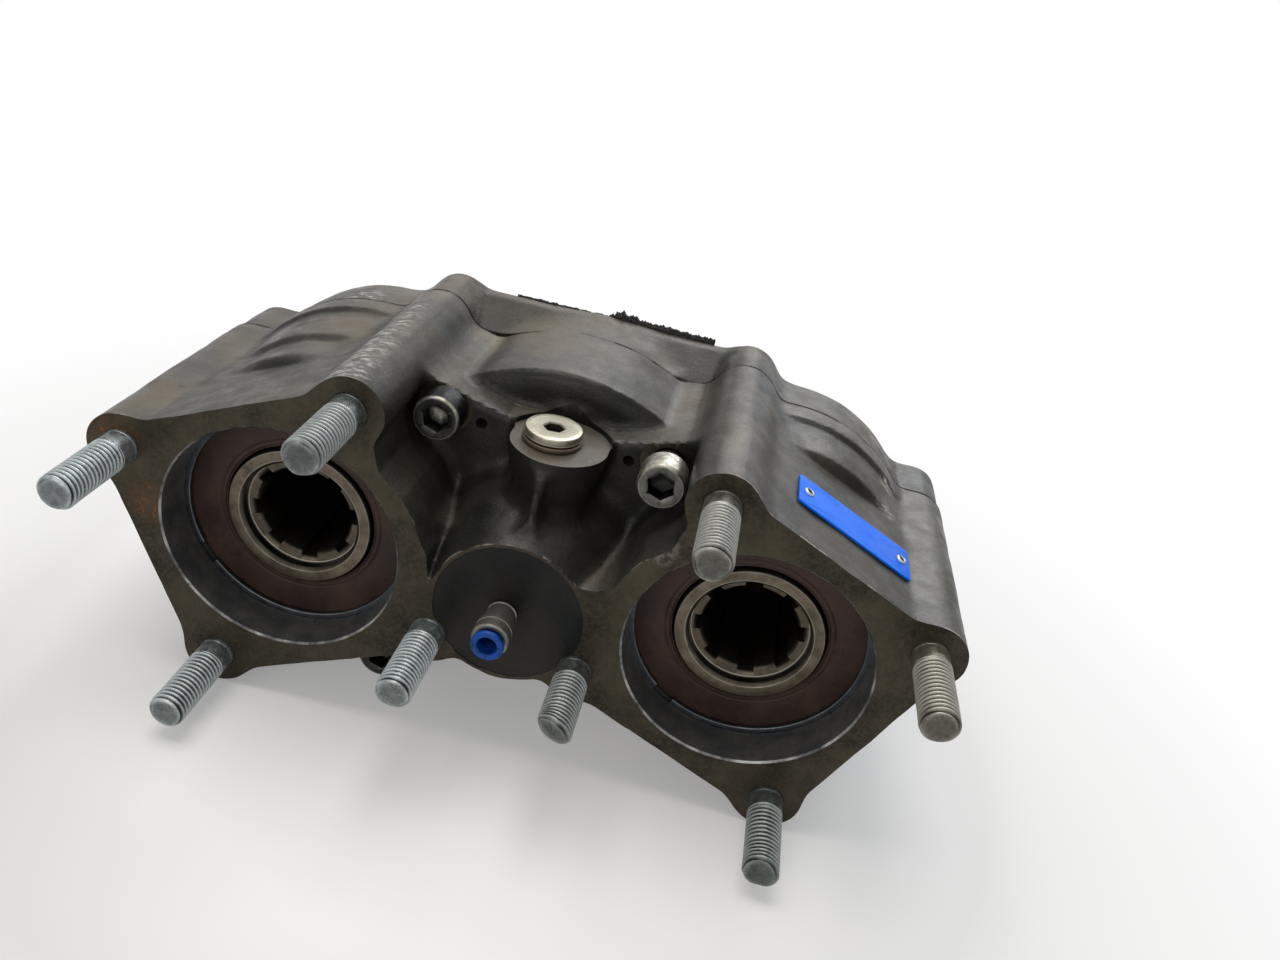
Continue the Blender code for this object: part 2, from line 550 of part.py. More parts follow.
def make_rear_cover():
    """The cover that closes the gear chamber and carries the gearbox face."""
    bodies = new_collection("rear_cover_bodies", cutters)
    cuts = new_collection("rear_cover_cuts", cutters)
    start, end = SEAM_DEPTH + GAP, HOUSING_DEPTH
    cover = slab("rear_cover", parts, [wing_outline(1, COVER_INSET)], start - OVER, end + OVER, wing_axis(1))
    slab("left_cover_wing", bodies, [wing_outline(-1, COVER_INSET)], start - OVER, end + OVER, wing_axis(-1))
    for side, name in ((1, "right"), (-1, "left")):
        drum(name + "_cover_bulge", bodies, BULGE_RADIUS - COVER_INSET, BULGE_RADIUS - 2 * COVER_INSET,
             start - OVER, end + OVER, wing_axis(side))
        x, z = LOWER_SCREW
        drum(name + "_cover_lug", bodies, LUG_RADIUS, LUG_RADIUS, start - OVER, end + OVER, (side * x, z), 20)
    drum("cover_drum", bodies, DRUM_RADIUS - COVER_INSET, DRUM_RADIUS - COVER_INSET, start - OVER, end + OVER,
         (0, -INPUT_DROP), 36)
    top = COVER_TOP
    flare = bpy.data.curves.new("flange_flare", "CURVE")
    flare.dimensions = "2D"
    flare.fill_mode = "BOTH"
    flare.extrude = COVER_TOP_HALF
    loop = flare.splines.new("POLY")
    side_view = [(start - OVER, top - COVER_RISE), (end - 4.0 * MM, top), (end + OVER, top),
                 (end + OVER, top - 3 * COVER_RISE), (start - OVER, top - 3 * COVER_RISE)]
    loop.points.add(len(side_view) - 1)
    for point, (y, z) in zip(loop.points, side_view):
        point.co = (y, z, 0.0, 1.0)
    loop.use_cyclic_u = True
    wedge = bpy.data.objects.new("flange_flare", flare)
    bodies.objects.link(wedge)
    wedge.parent = unit_frame
    wedge.rotation_euler = (math.radians(90), 0, math.radians(90))
    wedge.hide_render = True
    settle(wedge, bodies)
    combine(cover, bodies, "UNION")

    far = TRIM_HALF
    box("cover_front_trim", cuts, (-far, start - 20.0 * MM, -far), (far, start, far))
    box("cover_back_trim", cuts, (-far, end, -far), (far, end + 20.0 * MM, far))
    box("cover_underside", cuts, (-UNDERSIDE_HALF, start - 10.0 * MM, -far),
        (UNDERSIDE_HALF, end + 10.0 * MM, -DRUM_FLAT))
    for side, name in ((1, "right"), (-1, "left")):
        drum(name + "_rear_pocket", cuts, BEARING_RADIUS, BEARING_RADIUS, start - OVER,
             REAR_BEARING + BEARING_WIDTH + 2 * GAP, wing_axis(side))
        for corner in COVER_CORNERS:
            spot_at = stud_places(side)[corner]
            steps = [(0, end + OVER), (COVER_SCREW_HEAD + 0.5 * MM, end + OVER),
                     (COVER_SCREW_HEAD + 0.5 * MM, end - COVER_SCREW_SINK),
                     (COVER_SCREW_RADIUS + GAP, end - COVER_SCREW_SINK),
                     (COVER_SCREW_RADIUS + GAP, start - OVER), (0, start - OVER)]
            turned(name + "_cover_hole_" + corner, cuts, steps, (spot_at[0], 0, spot_at[1]), 10)
        for at, row in ((UPPER_SCREW, "upper"), (LOWER_SCREW, "lower")):
            drum(name + "_cover_screw_hole_" + row, cuts, SCREW_HOLE, SCREW_HOLE, start - OVER, end + OVER,
                 (side * at[0], at[1]), 12)
    floor = REAR_BEARING + DRIVE_BEARING_WIDTH + 2 * GAP
    pocket = [(0, end + OVER), (INPUT_OPENING, end + OVER), (INPUT_OPENING, floor),
              (DRIVE_BEARING_RADIUS, floor), (DRIVE_BEARING_RADIUS, start - OVER), (0, start - OVER)]
    turned("input_pocket", cuts, pocket, (0, 0, -INPUT_DROP))
    combine(cover, cuts, "DIFFERENCE")
    rim = new_collection("rear_cover_rim", cutters)
    spigot = [(SPIGOT_RADIUS, end + SPIGOT_HEIGHT - 1.0 * MM), (SPIGOT_RADIUS, end - 2.0 * MM),
              (INPUT_OPENING, end - 2.0 * MM), (INPUT_OPENING, end + SPIGOT_HEIGHT),
              (SPIGOT_RADIUS - 1.0 * MM, end + SPIGOT_HEIGHT)]
    turned("pilot_spigot", rim, spigot, (0, 0, -INPUT_DROP))
    combine(cover, rim, "UNION")
    return shade(settle(cover, parts), "cover_grey")


def make_studs():
    """M12 pump studs, threaded full length, with a chamfered end."""
    chamfer = 1.3 * MM
    profile = [(0, STUD_IN), (STUD_RADIUS, STUD_IN), (STUD_RADIUS, -STUD_OUT + chamfer),
               (STUD_RADIUS - chamfer, -STUD_OUT), (0, -STUD_OUT)]
    shared = None
    for side, name in ((1, "right"), (-1, "left")):
        for corner, at in stud_places(side).items():
            label = "stud_" + name + "_" + corner
            if shared is None:
                first = turned(label, parts, profile, (at[0], 0, at[1]), 12, "zinc")
                shared = first.data
            else:
                place(label, shared, parts, (at[0], 0, at[1]), FACE_BACK, "zinc")


def socket_screw(name, radius, head, head_height, length, key, at, seat, finish, way=1, sides=14):
    """A socket head cap screw whose head seats at the given depth; way is 1 for a head in front."""
    chamfer = 0.8 * MM
    profile = [(0, length), (radius, length), (radius, 0), (head, 0), (head, -head_height + chamfer),
               (head - chamfer, -head_height), (0, -head_height)]
    turn = FACE_BACK if way > 0 else FACE_FRONT
    screw = turned(name, parts, profile, (at[0], seat, at[1]), sides, rotation=turn)
    socket = new_collection(name + "_socket", cutters)
    depth = head_height * 0.55
    middle = seat - way * (head_height - depth / 2 + 0.5 * MM)
    drum(name + "_key", socket, key / math.sqrt(3), key / math.sqrt(3), middle - depth / 2 - 0.5 * MM,
         middle + depth / 2 + 0.5 * MM, at, 6)
    combine(screw, socket, "DIFFERENCE")
    return shade(settle(screw, parts), finish)


def make_screws():
    for label, standoff in SCREW_STANDOFF.items():
        row, side = label.split("_")
        way = 1 if side == "right" else -1
        x, z = UPPER_SCREW if row == "upper" else LOWER_SCREW
        seat = (RECESS_DEPTH if row == "upper" else LOWER_SEAT) - GAP - standoff
        socket_screw("mounting_screw_" + label, SCREW_RADIUS, SCREW_HEAD, SCREW_HEAD_HEIGHT, SCREW_LENGTH,
                     8.0 * MM, (way * x, z), seat, "screw_steel")
    for side, name in ((1, "right"), (-1, "left")):
        for corner in COVER_CORNERS:
            socket_screw("cover_screw_" + name + "_" + corner, COVER_SCREW_RADIUS, COVER_SCREW_HEAD,
                         COVER_SCREW_HEIGHT, COVER_SCREW_LENGTH, 6.0 * MM, stud_places(side)[corner],
                         HOUSING_DEPTH - COVER_SCREW_SINK + GAP, "screw_steel", -1, 8)


def make_port_plug():
    """The hexagon-socket plug and its sealing washer on the indicator port."""
    low = PORT_TOP + GAP
    washer = [(PLUG_COLLAR + PLUG_CHAMFER, low + WASHER_THICKNESS), (PLUG_COLLAR + PLUG_CHAMFER, low),
              (PORT_BORE + 0.1 * MM, low), (PORT_BORE + 0.1 * MM, low + WASHER_THICKNESS)]
    turned("plug_washer", parts, washer, (0, PORT_DEPTH, 0), 24, "steel", (0, 0, 0))
    under = low + WASHER_THICKNESS + GAP
    top = under + PLUG_COLLAR_HEIGHT
    chamfer = PLUG_CHAMFER
    thread = PORT_BORE - GAP
    profile = [(0, top), (PLUG_COLLAR - chamfer, top), (PLUG_COLLAR, top - chamfer), (PLUG_COLLAR, under),
               (thread, under), (thread, under - PLUG_THREAD_LENGTH), (0, under - PLUG_THREAD_LENGTH)]
    plug = turned("port_plug", parts, profile, (0, PORT_DEPTH, 0), 24, rotation=(0, 0, 0))
    socket = new_collection("port_plug_socket", cutters)
    key = PLUG_KEY / math.sqrt(3)
    turned("port_plug_key", socket, [(0, top + OVER), (key, top + OVER), (key, top - PLUG_KEY_DEPTH),
                                     (0, top - PLUG_KEY_DEPTH)], (0, PORT_DEPTH, 0), 6, rotation=(0, 0, 0))
    combine(plug, socket, "DIFFERENCE")
    shade(settle(plug, parts), "plug_brass")


def make_air_fitting():
    """The push-in air fitting on the actuator, and its blue release collet."""
    shank = FITTING_BORE - GAP
    body_end = -GAP - FITTING_BODY
    head_end = body_end - FITTING_HEAD
    bore = TUBE_BORE + 1.0 * MM + GAP
    profile = [(TUBE_BORE, 6.0 * MM), (shank, 6.0 * MM), (shank, -GAP), (5.0 * MM, -GAP), (5.0 * MM, body_end),
               (6.1 * MM, body_end - 0.6 * MM), (6.1 * MM, head_end + 0.8 * MM), (5.5 * MM, head_end),
               (bore, head_end), (bore, body_end - 1.0 * MM), (TUBE_BORE, body_end - 1.0 * MM)]
    centre = (FITTING_X, 0, -INPUT_DROP)
    turned("air_fitting", parts, profile, centre, 14, "zinc")
    tip = head_end - COLLET_TRAVEL - GAP - 1.5 * MM
    collet = [(TUBE_BORE, head_end + 4.0 * MM), (bore - GAP, head_end + 4.0 * MM), (bore - GAP, tip + 1.5 * MM),
              (5.3 * MM, tip + 1.5 * MM), (5.3 * MM, tip + 0.4 * MM), (4.8 * MM, tip), (TUBE_BORE, tip)]
    turned("fitting_collet", parts, collet, centre, 14, "collet_blue")


def make_bearing(name, bore, outside, width, start, at):
    """A shielded ball bearing: the outer ring filled by its shields, and the inner ring."""
    inner_high = bore + (outside - bore) * 0.30
    shield = inner_high / math.cos(math.pi / BEARING_SIDES) + GAP
    end = start + width
    outer = [(outside - GAP, end), (outside - GAP, start), (shield, start), (shield, end)]
    bore /= math.cos(math.pi / BEARING_SIDES)
    inner = [(inner_high, end), (inner_high, start), (bore + GAP, start), (bore + GAP, end)]
    turned(name + "_outer_ring", parts, outer, (at[0], 0, at[1]), BEARING_SIDES, "bearing_steel")
    turned(name + "_inner_ring", parts, inner, (at[0], 0, at[1]), BEARING_SIDES, "bearing_steel")


def make_bearings():
    for side, name in ((1, "right"), (-1, "left")):
        at = wing_axis(side)
        make_bearing(name + "_front_bearing", SHAFT_RADIUS, BEARING_RADIUS, BEARING_WIDTH, FRONT_BEARING, at)
        make_bearing(name + "_rear_bearing", SHAFT_RADIUS, BEARING_RADIUS, BEARING_WIDTH, REAR_BEARING + GAP, at)
    at = (0, -INPUT_DROP)
    make_bearing("drive_front_bearing", SHAFT_RADIUS, DRIVE_BEARING_RADIUS, DRIVE_BEARING_WIDTH,
                 DRIVE_FRONT_BEARING, at)
    make_bearing("drive_rear_bearing", SHAFT_RADIUS, DRIVE_BEARING_RADIUS, DRIVE_BEARING_WIDTH,
                 REAR_BEARING + GAP, at)


def make_output_gears():
    """Each output gear is one forging with its hollow, internally splined shaft."""
    right_turn = math.atan2(INPUT_DROP, SPREAD) + math.pi - math.pi / OUTPUT_TEETH
    drive_pitch = 2 * math.pi / DRIVE_TEETH
    output_pitch = 2 * math.pi / OUTPUT_TEETH
    left_line = math.pi - math.atan2(INPUT_DROP, SPREAD)
    past = ((left_line - math.atan2(INPUT_DROP, SPREAD)) / drive_pitch) % 1.0
    left_turn = left_line + math.pi + past * output_pitch - math.pi / OUTPUT_TEETH
    end = REAR_BEARING + BEARING_WIDTH - GAP
    stub = 0.8 * MM
    shaft = [(0, end), (SHAFT_RADIUS, end), (SHAFT_RADIUS, SEAM_DEPTH),
             (SHOULDER_RADIUS, SEAM_DEPTH), (SHOULDER_RADIUS, FRONT_BEARING + BEARING_WIDTH + GAP),
             (SHAFT_RADIUS, FRONT_BEARING + BEARING_WIDTH + GAP), (SHAFT_RADIUS, SHAFT_START + stub),
             (SHAFT_RADIUS - stub, SHAFT_START), (SHAFT_MOUTH + 1.4 * MM, SHAFT_START),
             (SHAFT_MOUTH, SHAFT_START + 1.4 * MM), (SHAFT_MOUTH, SPLINE_START),
             (SPLINE_MINOR, SPLINE_START + 1.0 * MM), (SPLINE_MINOR, SPLINE_END), (0, SPLINE_END)]
    slots = spline_outline(SPLINE_MINOR - 1.5 * MM, SPLINE_MAJOR, SPLINE_COUNT, SPLINE_TOOTH)
    for side, name, turn in ((1, "right", right_turn), (-1, "left", left_turn)):
        at = wing_axis(side)
        gear = slab("output_gear_" + name, parts, [rotate(gear_outline(OUTPUT_TEETH), turn)], GEAR_FRONT,
                    GEAR_BACK, at)
        core = new_collection("output_shaft_" + name, cutters)
        turned("shaft_" + name, core, shaft, (at[0], 0, at[1]), 24)
        cut = new_collection("output_spline_" + name, cutters)
        slab("slots_" + name, cut, [slots], SPLINE_START, SPLINE_END, at)
        combine(gear, core, "UNION")
        combine(gear, cut, "DIFFERENCE")
        shade(settle(gear, parts), "steel")


def make_drive_gear():
    """The driving gear on its own hub, splined inside for the engagement sleeve."""
    at = (0, -INPUT_DROP)
    turn = math.atan2(INPUT_DROP, SPREAD)
    gear = slab("drive_gear", parts, [rotate(gear_outline(DRIVE_TEETH), turn)], GEAR_FRONT + GAP,
                GEAR_BACK - GAP, at)
    front, back = DRIVE_FRONT_BEARING, REAR_BEARING + DRIVE_BEARING_WIDTH
    face = DRIVE_FRONT_BEARING + DRIVE_BEARING_WIDTH + GAP
    bore = SLEEVE_MAJOR - 2.6 * MM
    hub = [(SHAFT_RADIUS, back), (SHAFT_RADIUS, SEAM_DEPTH), (SHOULDER_RADIUS, SEAM_DEPTH),
           (SHOULDER_RADIUS, face), (SHAFT_RADIUS, face), (SHAFT_RADIUS, front), (bore, front), (bore, back)]
    core = new_collection("drive_hub", cutters)
    turned("hub", core, hub, (at[0], 0, at[1]), 20)
    cut = new_collection("drive_spline", cutters)
    tooth = math.pi * SLEEVE_MINOR / SLEEVE_SPLINE_COUNT
    slots = spline_outline(SLEEVE_MINOR + GAP, SLEEVE_MAJOR + GAP, SLEEVE_SPLINE_COUNT, tooth + 2 * GAP)
    slab("drive_slots", cut, [slots], front - 5.0 * MM, back + 5.0 * MM, at)
    combine(gear, core, "UNION")
    combine(gear, cut, "DIFFERENCE")
    shade(settle(gear, parts), "steel")


def make_engagement():
    """Air piston with its rod, the guide that closes the cylinder, the spring and the sleeve."""
    at = (0, 0, -INPUT_DROP)
    front, back = PISTON_FRONT, PISTON_FRONT + PISTON_LENGTH
    groove_low, groove_high = front + PISTON_GROOVE, back - PISTON_GROOVE
    skirt = PISTON_BORE - GAP
    sleeve_rest = SLEEVE_START - GAP
    piston = [(0, sleeve_rest), (ROD_RADIUS, sleeve_rest), (ROD_RADIUS, back), (skirt, back),
              (skirt, groove_high), (skirt - PISTON_GROOVE, groove_high), (skirt - PISTON_GROOVE, groove_low),
              (skirt, groove_low), (skirt, front), (0, front)]
    turned("piston", parts, piston, at, 16, "steel")
    thick = (groove_high - groove_low) / 2 - GAP / 2
    middle = (groove_high + groove_low) / 2
    centre = skirt - PISTON_GROOVE + GAP + thick
    round_section = [(centre + thick * math.cos(a), middle + thick * math.sin(a))
                     for a in (math.radians(90 - 60 * i) for i in range(6))]
    turned("piston_seal", parts, round_section, at, 16, "black_rubber")
    guide = [(PISTON_BORE - GAP, GUIDE_FRONT + GUIDE_LENGTH), (PISTON_BORE - GAP, GUIDE_FRONT),
             (ROD_RADIUS + GAP, GUIDE_FRONT), (ROD_RADIUS + GAP, GUIDE_FRONT + GUIDE_LENGTH)]
    turned("rod_guide", parts, guide, at, 16, "steel")

    wire, per_turn = SPRING_WIRE, 9
    spring_radius = ROD_RADIUS + 3.2 * MM
    low, high = back + GAP + wire, GUIDE_FRONT - GAP - wire
    coil = bpy.data.curves.new("return_spring", "CURVE")
    coil.dimensions = "3D"
    coil.bevel_depth = wire
    coil.bevel_resolution = 1
    coil.use_fill_caps = True
    line = coil.splines.new("POLY")
    count = int(SPRING_TURNS * per_turn) + 1
    line.points.add(count - 1)
    for i, point in enumerate(line.points):
        angle = 2 * math.pi * i / per_turn
        depth = low + (high - low) * i / (count - 1)
        point.co = (spring_radius * math.cos(angle), spring_radius * math.sin(angle), depth, 1.0)
    spring = bpy.data.objects.new("return_spring", coil)
    parts.objects.link(spring)
    spring.parent = unit_frame
    spring.location = at
    spring.rotation_euler = FACE_BACK
    shade(settle(spring, parts), "spring_steel")

    tooth = math.pi * SLEEVE_MINOR / SLEEVE_SPLINE_COUNT
    outside = spline_outline(SLEEVE_MINOR, SLEEVE_MAJOR, SLEEVE_SPLINE_COUNT, tooth)
    sleeve = slab("engagement_sleeve", parts, [outside], SLEEVE_START, SLEEVE_END, (0, -INPUT_DROP))
    cut = new_collection("sleeve_bore", cutters)
    inside = spline_outline(SLEEVE_BORE_MINOR, SLEEVE_BORE_MAJOR, SLEEVE_BORE_SPLINE_COUNT,
                            math.pi * SLEEVE_BORE_MINOR / SLEEVE_BORE_SPLINE_COUNT)
    slab("sleeve_slots", cut, [inside], SLEEVE_START + SLEEVE_FACE, SLEEVE_END + 2.0 * MM, (0, -INPUT_DROP))
    combine(sleeve, cut, "DIFFERENCE")
    shade(settle(sleeve, parts), "steel")


def make_seals():
    """Rubber shaft seals in the pilot bores, and the rings that hold them."""
    back = SEAL_START + SEAL_WIDTH
    low = SHAFT_RADIUS + GAP
    profile = [(BEARING_RADIUS - GAP, back), (BEARING_RADIUS - GAP, SEAL_START), (low + 4.0 * MM, SEAL_START),
               (low + 0.6 * MM, SEAL_START + 1.4 * MM), (low, back)]
    for side, name, gap_at in ((1, "right", 235.0), (-1, "left", 216.0)):
        x = wing_axis(side)[0]
        turned("shaft_seal_" + name, parts, profile, (x, 0, 0), 32, "seal_rubber")
        outer = BEARING_RADIUS + RING_GROOVE - GAP
        inner = outer - RING_RADIAL
        half = 6.0
        steps = 28
        clip = arc((0, 0), outer, gap_at + half, gap_at + 360 - half, steps)
        clip += arc((0, 0), inner, gap_at + 360 - half, gap_at + half, steps)
        start = PILOT_DEPTH + GAP
        slab("seal_ring_" + name, parts, [clip], start, start + RING_WIDTH, (x, 0), "steel")


def make_name_plate():
    """The riveted blank plate on the right wing's upper wall."""
    sine, cosine = SLOPE
    lift = TOP_WALL + GAP + PLATE_THICKNESS / 2
    at = (SPREAD + PLATE_ALONG * cosine + lift * sine, PLATE_DEPTH, lift * cosine - PLATE_ALONG * sine)
    turn = (0, FLANGE_TURN, 0)
    edit = bmesh.new()
    bmesh.ops.create_cube(edit, size=1.0)
    bmesh.ops.scale(edit, vec=(PLATE_LENGTH, PLATE_WIDTH, PLATE_THICKNESS), verts=edit.verts)
    mesh = bpy.data.meshes.new("name_plate")
    edit.to_mesh(mesh)
    edit.free()
    plate = place("name_plate", mesh, parts, at, turn)
    cut = new_collection("plate_holes", cutters)
    for way, name in ((-1, "inner"), (1, "outer")):
        along = PLATE_ALONG + way * RIVET_PITCH / 2
        base = TOP_WALL + GAP
        spot_at = (SPREAD + along * cosine + base * sine, PLATE_DEPTH, base * cosine - along * sine)
        hole = [(0, 3.0 * MM), (1.0 * MM + GAP, 3.0 * MM), (1.0 * MM + GAP, -2.0 * MM), (0, -2.0 * MM)]
        turned("plate_hole_" + name, cut, hole, spot_at, 12, rotation=turn)
        low = PLATE_THICKNESS + GAP
        rivet = [(0, low + 0.7 * MM), (0.9 * RIVET_RADIUS, low + 0.5 * MM), (RIVET_RADIUS, low),
                 (1.0 * MM, low), (1.0 * MM, 0), (0, 0)]
        turned("plate_rivet_" + name, parts, rivet, spot_at, 12, "zinc", turn)
    combine(plate, cut, "DIFFERENCE")
    shade(settle(plate, parts), "plate_blue")


def make_gasket_remnant():
    """What is left of the gearbox joint: a black strip along the top edge, squeezed up in lumps."""
    start = HOUSING_DEPTH + GAP
    left, right = -GASKET_LEFT, GASKET_RIGHT
    strip = [(left, COVER_TOP - GASKET_LUMP), (left, COVER_TOP + GAP)]
    lumps = ((0.07, 0.25), (0.12, 0.9), (0.21, 1.0), (0.28, 0.65), (0.35, 0.35), (0.42, 0.55), (0.51, 0.32),
             (0.63, 0.6), (0.72, 0.3), (0.84, 0.5), (0.93, 0.4), (1.0, -0.1))
    strip += [(right * along, COVER_TOP + GASKET_LUMP * rise) for along, rise in lumps]
    low = COVER_TOP - GASKET_LUMP
    strip += [(right, low), (right / 2, low - GASKET_LUMP), (0, low)]
    slab("gasket_remnant", parts, [strip], start, start + GASKET_THICKNESS, finish="sealant")


clear_scene()
parts = new_collection("power_take_off_unit")
cutters = new_collection("cutters")
unit_frame = bpy.data.objects.new("unit_frame", None)
parts.objects.link(unit_frame)
unit_frame.location = (0, FRONT_Y, AXIS_HEIGHT)
bpy.context.view_layer.update()

make_front_housing()
make_rear_cover()
make_studs()
make_screws()
make_port_plug()
make_air_fitting()
make_bearings()
make_output_gears()
make_drive_gear()
make_engagement()
make_seals()
make_name_plate()
make_gasket_remnant()
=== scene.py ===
"""The finished looks of a power take-off unit with two outputs, built round its solid model.

Lengths are millimetres in the unit's own frame until a mesh is made: x right through both output
axes, y back from the front flange face, z up from the line that joins the output axes.
"""
import json
import math

import bmesh
import bpy
import numpy as np
from mathutils import Matrix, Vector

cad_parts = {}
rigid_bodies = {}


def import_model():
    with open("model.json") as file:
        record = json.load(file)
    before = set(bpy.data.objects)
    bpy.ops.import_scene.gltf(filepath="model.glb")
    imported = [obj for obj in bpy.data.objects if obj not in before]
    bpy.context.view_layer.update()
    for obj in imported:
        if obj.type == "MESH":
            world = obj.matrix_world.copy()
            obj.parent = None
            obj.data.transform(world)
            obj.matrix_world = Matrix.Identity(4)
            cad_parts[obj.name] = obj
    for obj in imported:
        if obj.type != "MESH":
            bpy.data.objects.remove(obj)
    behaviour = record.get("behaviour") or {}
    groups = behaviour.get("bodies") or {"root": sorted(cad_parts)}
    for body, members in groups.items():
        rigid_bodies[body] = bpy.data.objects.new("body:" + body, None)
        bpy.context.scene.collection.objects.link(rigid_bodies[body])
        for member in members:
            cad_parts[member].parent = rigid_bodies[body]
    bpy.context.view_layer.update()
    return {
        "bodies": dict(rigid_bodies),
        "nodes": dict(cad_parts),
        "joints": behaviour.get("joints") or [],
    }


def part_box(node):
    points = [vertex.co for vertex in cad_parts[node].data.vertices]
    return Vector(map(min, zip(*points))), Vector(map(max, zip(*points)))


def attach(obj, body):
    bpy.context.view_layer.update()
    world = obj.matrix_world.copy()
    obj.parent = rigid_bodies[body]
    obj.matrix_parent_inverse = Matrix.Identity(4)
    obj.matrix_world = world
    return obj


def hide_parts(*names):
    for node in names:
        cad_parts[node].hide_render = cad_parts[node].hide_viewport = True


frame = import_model()


# Front housing: one grey iron casting with two flanged wings, a drum between them, an actuator
# boss and a port boss. It is cast in sand, painted grey, and machined on the flange faces, in the
# bores, on the seats and along the seam.
MM = 0.001
AXES = {joint["name"]: joint.get("pos_m") for joint in frame["joints"]}
SPREAD = AXES["output_spin_right"][0] / MM
AXIS_Z = AXES["output_spin_right"][2]
FRONT_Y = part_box("front_housing")[0].y
DROP = (AXES["drive_spin"][2] - AXIS_Z) / MM
SEAM = (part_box("front_housing")[1].y - FRONT_Y) / MM
CELL = 1.2
FLANGE_TURN = math.radians(24.0)
HALF_SQUARE = 40.0
LOBE = 11.3
TOP_WALL, OUTER_WALL, LOWER_WALL = 47.0, 48.5, 47.5
LOBE_FILLET = 5.0
INNER_EDGE = [(27.7, -9.3), (28.0, 2.0), (28.4, 9.0), (31.0, 13.5), (34.6, 21.5), (38.0, 27.0),
              (42.6, 31.0), (46.6, 35.0), (48.3, 41.0)]
UPPER_SCREW = (38.0, 44.4)
LOWER_SCREW = (44.0, -46.5)
RECESS = 35.0
PILOT = 40.0
DRIVE_AXIS = (0.0, DROP)
PORT_AT = (0.0, 28.5)
PORT_TOP = 45.5
PORT_BOSS_X = 2.5
BULGE_RADIUS = 54.0
DRUM_RADIUS, DRUM_FLAT = 65.8, 61.0


def turned_back(u, w):
    """The wing's own axes, u along its upper wall and w square to it, as x and z from the output axis."""
    sine, cosine = math.sin(FLANGE_TURN), math.cos(FLANGE_TURN)
    return u * cosine + w * sine, w * cosine - u * sine


def grid(low, high, cell):
    """Open x, y and z arrays of the points of a regular grid."""
    axes = [np.arange(a, b + cell, cell, dtype=np.float32) for a, b in zip(low, high)]
    return axes[0][:, None, None], axes[1][None, :, None], axes[2][None, None, :]


def polygon(a, b, corners):
    """Distance to a closed outline: the least distance to any side, negative where a ray crosses an
    odd number of sides."""
    best = np.full(np.broadcast(a, b).shape, 1e9, np.float32)
    odd = np.zeros(best.shape, bool)
    for (a0, b0), (a1, b1) in zip(corners, corners[1:] + corners[:1]):
        da, db = a1 - a0, b1 - b0
        share = np.clip(((a - a0) * da + (b - b0) * db) / (da * da + db * db), 0, 1)
        best = np.minimum(best, (a - a0 - share * da) ** 2 + (b - b0 - share * db) ** 2)
        if b0 != b1:
            crossing = a0 + (b - b0) * da / db
            odd ^= ((b0 <= b) != (b1 <= b)) & (a < crossing)
    return np.where(odd, -1, 1) * np.sqrt(best)


def joined(first, second, fillet):
    """Smooth least of two distances: a fillet of about that radius where the two bodies meet."""
    share = np.clip(0.5 + 0.5 * (second - first) / fillet, 0, 1)
    return second + (first - second) * share - fillet * share * (1 - share)


def between(flat, along, start, end, edge=0.0):
    """A flat outline carried along an axis from start to end, with its end edges rounded."""
    slab = np.maximum(start - along, along - end) + edge
    side = flat + edge
    outside = np.sqrt(np.maximum(side, 0) ** 2 + np.maximum(slab, 0) ** 2)
    return outside + np.minimum(np.maximum(side, slab), 0) - edge


def lumps(x, y, z, size, seed):
    """Random heights on a coarse grid, blended between its points along each axis in turn."""
    rng = np.random.default_rng(seed)
    spans = [np.ravel(axis) / size for axis in (x, y, z)]
    heights = rng.uniform(-1, 1, [int(s.max() - s.min()) + 3 for s in spans]).astype(np.float32)
    for axis, span in enumerate(spans):
        place = span - span.min()
        low = place.astype(int)
        share = place - low
        share = (share * share * (3 - 2 * share)).astype(np.float32)
        shape = [1, 1, 1]
        shape[axis] = -1
        share = share.reshape(shape)
        heights = np.take(heights, low, axis) * (1 - share) + np.take(heights, low + 1, axis) * share
    return heights


def mesh_object(name, points, faces, smooth=True):
    """A mesh object from millimetre points in the unit's frame. Smooth, it keeps edges over 35 degrees."""
    world = np.asarray(points, np.float64) * MM + (0.0, FRONT_Y, AXIS_Z)
    mesh = bpy.data.meshes.new(name)
    mesh.from_pydata(world, [], np.asarray(faces))
    mesh.update()
    item = bpy.data.objects.new(name, mesh)
    bpy.context.scene.collection.objects.link(item)
    if smooth:
        mesh.shade_smooth()
        mesh.set_sharp_from_angle(angle=math.radians(35))
    return item


